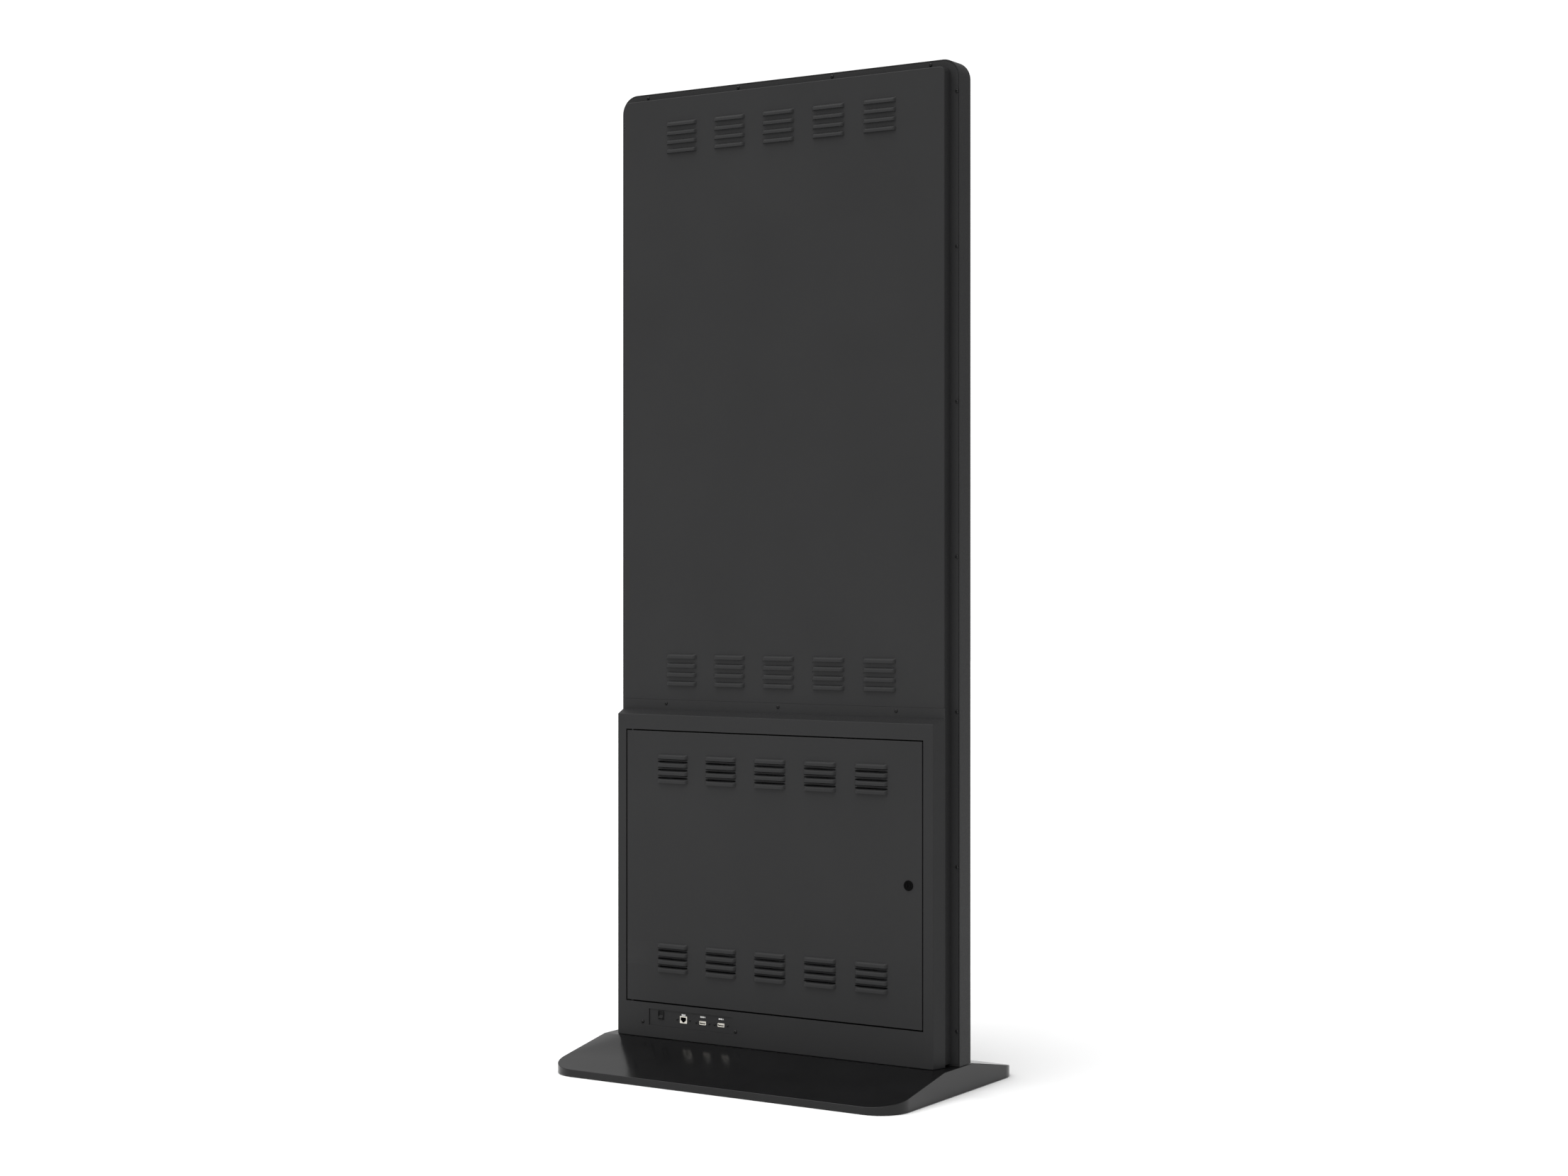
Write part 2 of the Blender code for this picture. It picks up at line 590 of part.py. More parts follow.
# ---- Inner frame --------------------------------------------------------------------------
def make_uprights(materials):
    bottom = BALLAST_TOP + FIT
    for side, label in ((1, "left"), (-1, "right")):
        low, high = upright_box(side, 0.0, bottom, UPRIGHT_TOP)
        reach = UPRIGHT_FOOT_REACH
        foot = box("upright_" + label, (low[0] - reach, low[1] - reach, bottom),
                   (high[0] + reach, high[1] + reach, bottom + UPRIGHT_FOOT_THICKNESS),
                   materials["steel"])
        post = box("upright_post_" + label, (low[0], low[1], bottom + UPRIGHT_FOOT_THICKNESS / 2), high)
        combine(foot, post, "UNION")
        low, high = upright_box(side, -UPRIGHT_WALL, bottom - UPRIGHT_FOOT_THICKNESS,
                                UPRIGHT_TOP + UPRIGHT_WALL)
        cut_box(foot, "bore", low, high)


def make_rails(materials):
    for label, middle in zip(("lower", "upper"), RAIL_Z):
        box("display_rail_" + label, (-RAIL_LENGTH / 2, RAIL_FRONT, middle - RAIL_HEIGHT / 2),
            (RAIL_LENGTH / 2, RAIL_FRONT + RAIL_THICKNESS, middle + RAIL_HEIGHT / 2),
            materials["steel"])


# ---- Front ----------------------------------------------------------------------------------
def make_front_frame(materials):
    ledge = FRAME_WALL + FRAME_LEDGE
    rear_seat = RIM_Y - SHEET - FIT
    section = ((0.0, FRONT_Y + FRAME_EDGE), (0.0, RIM_Y - FRAME_EDGE), (FRAME_EDGE, RIM_Y),
               (FRAME_WALL, RIM_Y), (FRAME_WALL, rear_seat), (ledge, rear_seat),
               (ledge, rear_seat - SHEET), (FRAME_WALL, rear_seat - SHEET),
               (FRAME_WALL, LEDGE_FRONT + SHEET), (ledge, LEDGE_FRONT + SHEET),
               (ledge, LEDGE_FRONT), (FRAME_WALL, LEDGE_FRONT), (FRAME_WALL, FRONT_Y),
               (FRAME_EDGE, FRONT_Y))
    frame = loft("front_frame", [body_ring(inset, y) for inset, y in section],
                 materials["coat"], closed=True)
    cuts = bmesh.new()
    add_upright_holes(cuts, BODY_BOTTOM - BASE_WALL, BODY_BOTTOM + ledge + BASE_WALL)
    add_screw_holes(cuts, rim_screw_places(), rear_seat - SHEET / 2)
    carve(frame, cuts)


def make_glass_and_display(materials):
    loft("front_glass", [body_ring(GLASS_INSET, FRONT_Y), body_ring(GLASS_INSET, GLASS_BACK)],
         materials["glass"])

    half_width, half_height = SCREEN_WIDTH / 2, SCREEN_HEIGHT / 2
    inner = box_rings((-half_width, GASKET_Y, SCREEN_MIDDLE - half_height),
                      (half_width, GASKET_Y + GASKET_THICKNESS, SCREEN_MIDDLE + half_height))
    outer_width, outer_height = half_width + GASKET_WIDTH, half_height + GASKET_WIDTH
    outer = box_rings((-outer_width, GASKET_Y, SCREEN_MIDDLE - outer_height),
                      (outer_width, GASKET_Y + GASKET_THICKNESS, SCREEN_MIDDLE + outer_height))
    loft("display_gasket", [outer[0], outer[1], inner[1], inner[0]], materials["rubber"], closed=True)

    width, height = half_width + MODULE_BORDER, half_height + MODULE_BORDER
    step = MODULE_THICKNESS / 2
    pan = box_rings((-width, MODULE_FRONT, SCREEN_MIDDLE - height),
                    (width, MODULE_FRONT + step, SCREEN_MIDDLE + height))
    back = box_rings((-half_width, MODULE_FRONT, SCREEN_MIDDLE - half_height),
                     (half_width, MODULE_BACK, SCREEN_MIDDLE + half_height))
    middle = box_rings((-half_width, MODULE_FRONT, SCREEN_MIDDLE - half_height),
                       (half_width, MODULE_FRONT + step, SCREEN_MIDDLE + half_height))
    loft("display_module", [pan[0], pan[1], middle[1], back[1]], materials["screen"])


def board(name, size, place, front, blocks, materials):
    """Circuit board with its tall parts on the back face."""
    width, thickness, height = size
    x, z = place
    item = box(name, (x - width / 2, front, z - height / 2),
               (x + width / 2, front + thickness, z + height / 2), materials["board"])
    for number, (across, up, block_width, block_height, rise) in enumerate(blocks, start=1):
        middle_x, middle_z = x + across * width, z + up * height
        part = box("%s_part_%d" % (name, number),
                   (middle_x - block_width / 2, front + thickness / 2, middle_z - block_height / 2),
                   (middle_x + block_width / 2, front + thickness + rise, middle_z + block_height / 2))
        combine(item, part, "UNION")


def make_boards(materials):
    front = MODULE_BACK + FIT
    board("display_driver_board", DRIVER_BOARD, DRIVER_PLACE, front,
          ((0.22, 0.18, 0.030, 0.030, 0.006), (-0.25, 0.05, 0.024, 0.046, 0.009),
           (0.05, -0.30, 0.050, 0.018, 0.007), (-0.28, -0.33, 0.020, 0.030, 0.005)), materials)
    board("touch_controller_board", TOUCH_BOARD, TOUCH_PLACE, front,
          ((0.0, 0.12, 0.014, 0.014, 0.002), (0.0, -0.38, 0.020, 0.008, 0.005)), materials)


# ---- Rear cover --------------------------------------------------------------------------------
def cover_ring(inset, y):
    half_width = BODY_WIDTH / 2 - COVER_SIDE_MARGIN - inset
    bottom = BODY_BOTTOM + GLASS_INSET + SHEET + inset
    return upright_ring(half_width, bottom, BODY_TOP - COVER_TOP_MARGIN - inset,
                        COVER_CORNER - inset, y)


def make_rear_cover(materials):
    flange = RIM_Y - SHEET
    rings = [cover_ring(SHEET, COVER_Y - SHEET), cover_ring(SHEET, flange),
             body_ring(GLASS_INSET, flange), body_ring(GLASS_INSET, RIM_Y),
             cover_ring(0.0, RIM_Y), cover_ring(0.0, COVER_Y - COVER_EDGE),
             cover_ring(COVER_EDGE, COVER_Y)]
    cover = loft("rear_cover", rings, materials["coat"])
    places = list(louvre_places(BODY_TOP - COVER_UPPER_LOUVRES, COVER_LOUVRE_PITCH))
    places += louvre_places(CABINET_TOP + COVER_LOWER_LOUVRES, COVER_LOUVRE_PITCH)
    cuts = bmesh.new()
    press_louvres(cover, cuts, places, COVER_Y)
    add_loft(cuts, box_rings((-ACCESS_WIDTH / 2, COVER_Y - 3 * SHEET, ACCESS_BOTTOM),
                             (ACCESS_WIDTH / 2, COVER_Y + SHEET, ACCESS_TOP)))
    add_upright_holes(cuts, BODY_BOTTOM, ACCESS_BOTTOM - BASE_WALL)
    add_screw_holes(cuts, rim_screw_places(), RIM_Y)
    add_screw_holes(cuts, lap_screw_places(), COVER_Y)
    carve(cover, cuts)


# ---- Cabinet -----------------------------------------------------------------------------------
def cabinet_ring(inset, flare, y):
    """Rectangle of the cabinet at one depth; the foot is square to the base."""
    half = CABINET_WIDTH / 2 + flare - inset
    return box_rings((-half, y, BODY_BOTTOM + inset), (half, y, CABINET_TOP + flare - inset))[0]


def door_opening(grow, low_y, high_y):
    """Box through the cabinet's back, as large as the door and its gap."""
    margin = DOOR_GAP + grow
    return ((DOOR_RIGHT - margin, low_y, DOOR_BOTTOM - margin),
            (DOOR_LEFT + margin, high_y, DOOR_TOP + margin))


def make_cabinet(materials):
    seat = COVER_Y + FIT
    inner_flare = CABINET_FLARE * (1 - SHEET / CABINET_DEPTH)
    rings = [cabinet_ring(SHEET, 0.0, BACK_Y - SHEET),
             cabinet_ring(SHEET, inner_flare, seat + SHEET),
             cabinet_ring(CABINET_RETURN, CABINET_FLARE, seat + SHEET),
             cabinet_ring(CABINET_RETURN, CABINET_FLARE, seat),
             cabinet_ring(0.0, CABINET_FLARE, seat),
             cabinet_ring(0.0, 0.0, BACK_Y)]
    cabinet = loft("cabinet_shell", rings, materials["coat"])

    half = CABINET_WIDTH / 2 + CABINET_FLARE
    lap_seat = seat + FIT / 3
    lap = box("cabinet_shell_lap", (-half, lap_seat, CABINET_TOP + CABINET_FLARE - CABINET_RETURN / 2),
              (half, lap_seat + LAP_THICKNESS, CABINET_TOP + CABINET_FLARE + LAP_HEIGHT))
    combine(cabinet, lap, "UNION")
    jamb = box("cabinet_shell_jamb", *door_opening(SHEET, BACK_Y - JAMB_DEPTH, BACK_Y - SHEET / 2))
    combine(cabinet, jamb, "UNION")
    cut_box(cabinet, "doorway", *door_opening(0.0, BACK_Y - 2 * JAMB_DEPTH, BACK_Y + SHEET))
    cuts = bmesh.new()
    add_loft(cuts, box_rings((WINDOW_LEFT, BACK_Y - 2 * SHEET, WINDOW_BOTTOM),
                             (WINDOW_RIGHT, BACK_Y + SHEET, WINDOW_TOP)))
    add_pin_holes(cuts, DOOR_GAP + SHEET / 2, SHEET)
    add_screw_holes(cuts, lap_screw_places(), COVER_Y)
    add_screw_holes(cuts, plate_screw_places(), BACK_Y)
    carve(cabinet, cuts)


def add_pin_holes(cuts, outside, half_length):
    """Holes on the pivot line, centred a little outside the door's top and bottom edges."""
    for middle in (DOOR_TOP + outside, DOOR_BOTTOM - outside):
        add_loft(cuts, [circle(PIN_RADIUS + FIT, (PIVOT.x, PIVOT.y, middle + side * half_length), "Z", 16)
                        for side in (-1, 1)])


def plate_screw_places():
    return [(x, PLATE_SCREW_Z) for x in PLATE_SCREW_X]


# ---- Door ----------------------------------------------------------------------------------------
def door_ring(inset, y):
    return box_rings((DOOR_RIGHT + inset, y, DOOR_BOTTOM + inset),
                     (DOOR_LEFT - inset, y, DOOR_TOP - inset))[0]


def make_door(materials):
    inner = BACK_Y - DOOR_RETURN
    rings = [door_ring(SHEET, BACK_Y - SHEET), door_ring(SHEET, inner), door_ring(0.0, inner),
             door_ring(0.0, BACK_Y)]
    door = loft("door_panel", rings, materials["coat"], origin=PIVOT)
    places = list(louvre_places(DOOR_TOP - DOOR_UPPER_LOUVRES, DOOR_LOUVRE_PITCH))
    places += louvre_places(DOOR_BOTTOM + DOOR_LOWER_LOUVRES, DOOR_LOUVRE_PITCH)
    cuts = bmesh.new()
    press_louvres(door, cuts, places, BACK_Y)
    add_loft(cuts, [circle(LOCK_BARREL_RADIUS + FIT, (LOCK_X, BACK_Y + side * 2 * SHEET, LOCK_Z), "Y", 24)
                    for side in (-1, 1)])
    add_pin_holes(cuts, 0.0, 2 * SHEET)
    carve(door, cuts)
    return door


def make_hinge(materials):
    """Two loose pins, each with a collar outside the jamb, and a washer under the door."""
    span = DOOR_GAP + SHEET + FIT
    for label, edge, way in (("upper", DOOR_TOP, 1), ("lower", DOOR_BOTTOM, -1)):
        profile = ((PIN_RADIUS, -PIN_REACH * way), (PIN_RADIUS, span * way),
                   (PIN_COLLAR_RADIUS, span * way), (PIN_COLLAR_RADIUS, (span + PIN_COLLAR_HEIGHT) * way))
        centre = (PIVOT.x, PIVOT.y, edge)
        turned("hinge_pin_" + label, profile, centre, "Z", 16, materials["steel"])
    low, high = -DOOR_GAP + FIT, -FIT
    washer = ((PIN_RADIUS + FIT, low), (PIN_COLLAR_RADIUS, low), (PIN_COLLAR_RADIUS, high),
              (PIN_RADIUS + FIT, high))
    turned("hinge_washer", washer, (PIVOT.x, PIVOT.y, DOOR_BOTTOM), "Z", 16, materials["plastic"],
           closed=True)


# ---- Lock ------------------------------------------------------------------------------------------
def make_lock(materials, door):
    centre = Vector((LOCK_X, BACK_Y, LOCK_Z))
    bore = LOCK_PLUG_RADIUS + FIT
    back = -LOCK_BARREL_LENGTH
    flange = FIT + LOCK_FLANGE_HEIGHT
    body = turned("lock_body", ((bore, back), (LOCK_BARREL_RADIUS, back), (LOCK_BARREL_RADIUS, FIT),
                                (LOCK_FLANGE_RADIUS, FIT), (LOCK_FLANGE_RADIUS, 0.7 * flange),
                                (0.94 * LOCK_FLANGE_RADIUS, flange), (bore, flange)),
                  centre, "Y", 24, materials["lock"], closed=True)

    nut_front = -SHEET - FIT
    nut_radius = LOCK_NUT_ACROSS / 2 / math.cos(math.pi / 6)
    nut = turned("lock_nut", ((nut_radius, nut_front - LOCK_NUT_THICKNESS), (nut_radius, nut_front)),
                 centre, "Y", 6, materials["steel"])
    cut_round(nut, "bore", LOCK_BARREL_RADIUS + FIT, centre, "Y", LOCK_BARREL_LENGTH, 24)

    shoulder = back - 2 * FIT
    neck_end = shoulder - CAM_THICKNESS - 2 * FIT
    plug = turned("lock_plug", ((LOCK_PLUG_RADIUS, neck_end - CAM_THICKNESS), (LOCK_PLUG_RADIUS, neck_end),
                                (LOCK_NECK_RADIUS, neck_end), (LOCK_NECK_RADIUS, shoulder),
                                (LOCK_PLUG_RADIUS, shoulder), (LOCK_PLUG_RADIUS, flange - FIT)),
                  centre, "Y", 24, materials["lock"])
    cut_box(plug, "keyway", centre + Vector((-KEYWAY_WIDTH / 2, flange - KEYWAY_DEPTH, -KEYWAY_HEIGHT / 2)),
            centre + Vector((KEYWAY_WIDTH / 2, flange + FIT, KEYWAY_HEIGHT / 2)))

    cam_front = centre.y + shoulder - FIT
    cam_back = cam_front - CAM_THICKNESS
    half = CAM_WIDTH / 2
    outline = [(LOCK_X - half, LOCK_Z), (LOCK_X - half, LOCK_Z - CAM_REACH + half / 2),
               (LOCK_X - half / 2, LOCK_Z - CAM_REACH), (LOCK_X + half / 2, LOCK_Z - CAM_REACH),
               (LOCK_X + half, LOCK_Z - CAM_REACH + half / 2), (LOCK_X + half, LOCK_Z)]
    for step in range(1, 6):
        angle = math.pi * step / 6
        outline.append((LOCK_X + half * math.cos(angle), LOCK_Z + half * math.sin(angle)))
    cam = loft("lock_cam", [[(x, y, z) for x, z in outline] for y in (cam_back, cam_front)],
               materials["steel"], origin=centre)
    cut_round(cam, "bore", LOCK_NECK_RADIUS + FIT, centre, "Y", 2 * LOCK_BARREL_LENGTH, 24)
    for item in (body, nut, plug, cam):
        ride_on(item, door)


# ---- Connection plate --------------------------------------------------------------------------------
def make_plate(materials):
    low = (WINDOW_LEFT - PLATE_BORDER, PLATE_FRONT - SHEET, WINDOW_BOTTOM - PLATE_DROP)
    high = (WINDOW_RIGHT + PLATE_BORDER, PLATE_FRONT, WINDOW_TOP + PLATE_RISE)
    plate = box("connection_plate", low, high, materials["coat"])
    cuts = bmesh.new()
    switch = ("switch", SWITCH_X, SWITCH_Z, SWITCH_WIDTH - 2 * SWITCH_LIP, SWITCH_HEIGHT - 2 * SWITCH_LIP)
    for _, x, z, width, height in [*socket_mouths(), switch]:
        across, up = width / 2 + FIT, height / 2 + FIT
        add_loft(cuts, box_rings((x - across, PLATE_FRONT - 2 * SHEET, z - up),
                                 (x + across, PLATE_FRONT + SHEET, z + up)))
    add_screw_holes(cuts, plate_screw_places() + socket_screw_places(), PLATE_FRONT)
    carve(plate, cuts)


def socket_mouths():
    """Name, place and outer size of each socket."""
    yield "network_socket", NETWORK_X, NETWORK_Z, NETWORK_WIDTH, NETWORK_HEIGHT
    for number, x in enumerate(USB_X, start=1):
        yield "usb_socket_%d" % number, x, USB_Z, USB_WIDTH, USB_HEIGHT


def socket_screw_places():
    return [(x + side * SOCKET_SCREW_REACH, z)
            for _, x, z, _, _ in socket_mouths() for side in (-1, 1)]


def make_sockets(materials):
    """Panel sockets: a body through the plate and two ears behind it."""
    mouth = PLATE_FRONT + SOCKET_PROUD
    ear_front = PLATE_FRONT - SHEET - FIT
    for name, x, z, width, height in socket_mouths():
        item = box(name, (x - width / 2, mouth - SOCKET_DEPTH, z - height / 2),
                   (x + width / 2, mouth, z + height / 2), materials["port"])
        ears = box(name + "_ears", (x - SOCKET_EAR_REACH, ear_front - SOCKET_EAR_THICKNESS, z - height / 3),
                   (x + SOCKET_EAR_REACH, ear_front, z + height / 3))
        combine(item, ears, "UNION")
        cuts = bmesh.new()
        add_screw_holes(cuts, [(x - SOCKET_SCREW_REACH, z), (x + SOCKET_SCREW_REACH, z)], ear_front)
        carve(item, cuts)
        wall = SOCKET_WALL
        if name == "network_socket":
            cut_box(item, "jack", (x - width / 2 + 2 * wall, mouth - 0.75 * SOCKET_DEPTH, z - height / 6),
                    (x + width / 2 - 2 * wall, mouth + wall, z + height / 2 - 2 * wall))
            cut_box(item, "latch_step", (x - width / 5, mouth - 0.7 * SOCKET_DEPTH, z - height / 2 + wall),
                    (x + width / 5, mouth + 2 * wall, z))
        else:
            cut_box(item, "mouth",
                    (x - width / 2 + wall, mouth - 0.75 * SOCKET_DEPTH, z - height / 2 + wall),
                    (x + width / 2 - wall, mouth + wall, z + height / 2 - wall))
            across = width / 2 - 2 * wall
            tongue = box(name + "_tongue", (x - across, mouth - 0.85 * SOCKET_DEPTH, z - wall),
                         (x + across, mouth - wall, z + 0.7 * wall))
            combine(item, tongue, "UNION")


def make_switch(materials):
    """Rocker switch: a moulded cup with a bezel, and the rocker on its cross axle."""
    plate_gap = PLATE_FRONT + FIT
    face = plate_gap + SWITCH_PROUD
    half_width, half_height = SWITCH_WIDTH / 2, SWITCH_HEIGHT / 2
    lip = SWITCH_LIP
    body = box_rings((SWITCH_X - half_width + lip, face - SWITCH_DEPTH, SWITCH_Z - half_height + lip),
                     (SWITCH_X + half_width - lip, plate_gap, SWITCH_Z + half_height - lip))
    bezel = box_rings((SWITCH_X - half_width, plate_gap, SWITCH_Z - half_height),
                      (SWITCH_X + half_width, face, SWITCH_Z + half_height))
    housing = loft("switch_housing", body + bezel, materials["plastic"])

    radius = half_height - SWITCH_WALL - FIT
    pivot = Vector((SWITCH_X, face - SWITCH_PIVOT_DEPTH, SWITCH_Z))
    wide = half_width - SWITCH_WALL
    cut_box(housing, "well", (SWITCH_X - wide, pivot.y - radius - 2 * FIT, SWITCH_Z - radius - FIT),
            (SWITCH_X + wide, face + SWITCH_PROUD, SWITCH_Z + radius + FIT))

    start = math.radians(ROCKER_FACE_ANGLE)
    turn = math.pi + 2 * start
    outline = [(ROCKER_DISH, 0.0)]
    for step in range(2 * ARC_STEPS + 1):
        angle = start - turn * step / (2 * ARC_STEPS)
        outline.append((radius * math.sin(angle), radius * math.cos(angle)))
    tilt = math.radians(ROCKER_TILT)
    points = [(pivot.y + y * math.cos(tilt) - z * math.sin(tilt),
               pivot.z + y * math.sin(tilt) + z * math.cos(tilt)) for y, z in outline]
    rings = [[(x, y, z) for y, z in points]
             for x in (SWITCH_X - wide + FIT, SWITCH_X + wide - FIT)]
    loft("switch_rocker", rings, materials["plastic"], origin=pivot)


# ---- Equipment in the cabinet ---------------------------------------------------------------------------
def make_tray(materials):
    reach = UPRIGHT_X + UPRIGHT_WIDTH / 2 - SHEET
    box("equipment_tray", (-reach, UPRIGHT_BACK + FIT, TRAY_BOTTOM), (reach, TRAY_BACK, TRAY_TOP),
        materials["steel"])


def make_case(name, size, place, material):
    """Box case with a chamfered lid, seated on the tray."""
    width, depth, height = size
    x, z = place
    front, edge = TRAY_BACK + FIT, CASE_EDGE
    full = box_rings((x - width / 2, front, z - height / 2),
                     (x + width / 2, front + depth - edge, z + height / 2))
    lid = box_rings((x - width / 2 + edge, front, z - height / 2 + edge),
                    (x + width / 2 - edge, front + depth, z + height / 2 - edge))
    return loft(name, full + [lid[1]], material)


def make_equipment(materials):
    make_case("media_player", PLAYER_SIZE, PLAYER_PLACE, materials["grey"])
    make_case("power_supply", SUPPLY_SIZE, SUPPLY_PLACE, materials["steel"])
    for side, label in ((1, "left"), (-1, "right")):
        x = side * SPEAKER_X
        speaker = make_case("speaker_" + label, SPEAKER_SIZE, (x, SPEAKER_Z), materials["plastic"])
        back = TRAY_BACK + FIT + SPEAKER_SIZE[1]
        profile = ((SPEAKER_CONE_RADIUS, CASE_EDGE), (SPEAKER_CONE_RADIUS, -SPEAKER_RECESS),
                   (SPEAKER_CONE_RADIUS * 0.4, -SPEAKER_CONE_DEPTH))
        cone = turned("speaker_cone_" + label, profile, (x, back, SPEAKER_Z), "Y", 24, None)
        combine(speaker, cone)


# ---- Fans ------------------------------------------------------------------------------------------------
def make_fan(side, label, materials):
    x = side * FAN_X
    half = FAN_SIZE / 2
    front = FAN_BACK - FAN_THICKNESS
    axis = (x, FAN_BACK - FAN_THICKNESS / 2, FAN_Z)
    frame = box("fan_frame_" + label, (x - half, front, FAN_Z - half), (x + half, FAN_BACK, FAN_Z + half),
                materials["plastic"])
    cut_round(frame, "tunnel", FAN_TUNNEL_RADIUS, axis, "Y", FAN_THICKNESS, 32)
    reach, arm = FAN_TUNNEL_RADIUS + FIT, FAN_ARM / 2
    for name, across, up, lift in (("bar", reach, arm, 0.0), ("post", arm, reach, FIT / 3)):
        tool = box("fan_%s_%s" % (name, label), (x - across, front + lift, FAN_Z - up),
                   (x + across, front + FAN_SPIDER + lift, FAN_Z + up))
        combine(frame, tool, "UNION")

    depth = FAN_THICKNESS - FAN_SPIDER - 4 * FIT
    low = front + FAN_SPIDER + 2 * FIT - axis[1]
    rotor = turned("fan_rotor_" + label,
                   ((FAN_HUB_RADIUS, low), (FAN_HUB_RADIUS, low + depth - FAN_BLADE_THICKNESS),
                    (FAN_HUB_RADIUS - FAN_BLADE_THICKNESS, low + depth)),
                   axis, "Y", 21, materials["plastic"])
    blades = bmesh.new()
    pitch = Matrix.Rotation(math.radians(FAN_BLADE_PITCH), 4, "X")
    middle = Matrix.Translation(Vector(axis) + Vector((0.0, low + depth / 2, 0.0)))
    for number in range(FAN_BLADES):
        place = middle @ Matrix.Rotation(2 * math.pi * (number + 0.25) / FAN_BLADES, 4, "Y") @ pitch
        add_loft(blades, [[place @ Vector((radius, y, z)) for y, z in blade_section(chord)]
                          for radius, chord in ((FAN_HUB_RADIUS - 2 * FAN_BLADE_THICKNESS, FAN_ROOT_CHORD),
                                                (FAN_BLADE_TIP - FAN_BLADE_THICKNESS, FAN_TIP_CHORD))])
    combine(rotor, finish("fan_blades_" + label, blades, None), "UNION")


def blade_section(chord):
    half = FAN_BLADE_THICKNESS / 2
    return ((-half, -chord / 2), (half, -chord / 2), (half, chord / 2), (-half, chord / 2))


def build():
    clear_scene()
    materials = make_materials()
    make_base(materials)
    make_uprights(materials)
    make_rails(materials)
    make_front_frame(materials)
    make_glass_and_display(materials)
    make_boards(materials)
    make_rear_cover(materials)
    make_cabinet(materials)
    door = make_door(materials)
    make_hinge(materials)
    make_lock(materials, door)
    make_plate(materials)
    make_sockets(materials)
    make_switch(materials)
    make_tray(materials)
    make_equipment(materials)
    make_fan(1, "left", materials)
    make_fan(-1, "right", materials)
    make_rim_screws(materials)


build()
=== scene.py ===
import math

import bmesh
import bpy
from mathutils import Matrix, Vector


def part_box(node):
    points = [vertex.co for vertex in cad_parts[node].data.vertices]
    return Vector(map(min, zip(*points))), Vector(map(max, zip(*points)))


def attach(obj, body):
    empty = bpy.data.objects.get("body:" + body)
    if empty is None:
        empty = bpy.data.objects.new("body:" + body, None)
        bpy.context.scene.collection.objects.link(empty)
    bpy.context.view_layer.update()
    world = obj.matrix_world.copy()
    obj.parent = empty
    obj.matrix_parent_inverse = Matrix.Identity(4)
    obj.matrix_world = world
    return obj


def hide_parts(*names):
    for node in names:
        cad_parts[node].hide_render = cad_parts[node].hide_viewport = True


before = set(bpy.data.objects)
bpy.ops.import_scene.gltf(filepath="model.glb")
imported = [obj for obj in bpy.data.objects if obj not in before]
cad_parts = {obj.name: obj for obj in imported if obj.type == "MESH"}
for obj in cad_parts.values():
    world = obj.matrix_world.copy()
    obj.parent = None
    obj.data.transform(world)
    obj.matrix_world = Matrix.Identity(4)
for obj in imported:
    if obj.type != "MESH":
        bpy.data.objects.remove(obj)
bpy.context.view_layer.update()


# ---- Ballast plate -------------------------------------------------------------------
# Heavy flat plate inside the base that keeps the tall kiosk upright. Laser-cut steel,
# black zinc plated, with the uprights and the rubber feet fixed to it.
PATTERN_SPREAD = (0.3, 0.7)


def new_finish(name, colour, roughness, metallic=0.0):
    """A material with its even values on the shader; patterns are linked on top of them."""
    finish = bpy.data.materials.new(name)
    finish.use_nodes = True
    tree = finish.node_tree
    shader = tree.nodes["Principled BSDF"]
    shader.inputs["Base Color"].default_value = (*colour, 1.0)
    shader.inputs["Roughness"].default_value = roughness
    shader.inputs["Metallic"].default_value = metallic
    return finish, tree, shader


def add_pattern(tree, kind):
    """Add a pattern that lies on the piece's own coordinates."""
    pattern = tree.nodes.new(kind)
    place = tree.nodes.new("ShaderNodeTexCoord")
    tree.links.new(place.outputs["Object"], pattern.inputs["Vector"])
    return pattern


def spots(tree, scale, detail=2.0, stretch=(1.0, 1.0, 1.0)):
    """Noise with a pattern size of about 1/scale metres."""
    mapping = add_pattern(tree, "ShaderNodeMapping")
    mapping.inputs["Scale"].default_value = stretch
    noise = tree.nodes.new("ShaderNodeTexNoise")
    noise.inputs["Scale"].default_value = scale
    noise.inputs["Detail"].default_value = detail
    tree.links.new(mapping.outputs["Vector"], noise.inputs["Vector"])
    return noise.outputs["Fac"]


def vary(tree, pattern, target, low, high):
    """Spread a pattern between two values of a shader input, or between two colours."""
    if isinstance(low, tuple):
        ramp = tree.nodes.new("ShaderNodeValToRGB")
        ends = zip(ramp.color_ramp.elements, PATTERN_SPREAD, (low, high))
        for end, place, colour in ends:
            end.position = place
            end.color = (*colour, 1.0)
        tree.links.new(pattern, ramp.inputs["Fac"])
        tree.links.new(ramp.outputs["Color"], target)
        return
    span = tree.nodes.new("ShaderNodeMapRange")
    span.inputs["From Min"].default_value = PATTERN_SPREAD[0]
    span.inputs["From Max"].default_value = PATTERN_SPREAD[1]
    span.inputs["To Min"].default_value = low
    span.inputs["To Max"].default_value = high
    tree.links.new(pattern, span.inputs["Value"])
    tree.links.new(span.outputs["Result"], target)


def roughen(tree, shader, pattern, depth, strength=1.0):
    """Raise a pattern on the surface by a depth in metres."""
    relief = tree.nodes.new("ShaderNodeBump")
    relief.inputs["Distance"].default_value = depth
    relief.inputs["Strength"].default_value = strength
    tree.links.new(pattern, relief.inputs["Height"])
    tree.links.new(relief.outputs["Normal"], shader.inputs["Normal"])


def coat_node(finish, slot, *names):
    """Give CAD pieces that stay as they are their finish."""
    for name in names:
        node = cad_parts[name]
        node.data.materials.clear()
        node.data.materials.append(finish)


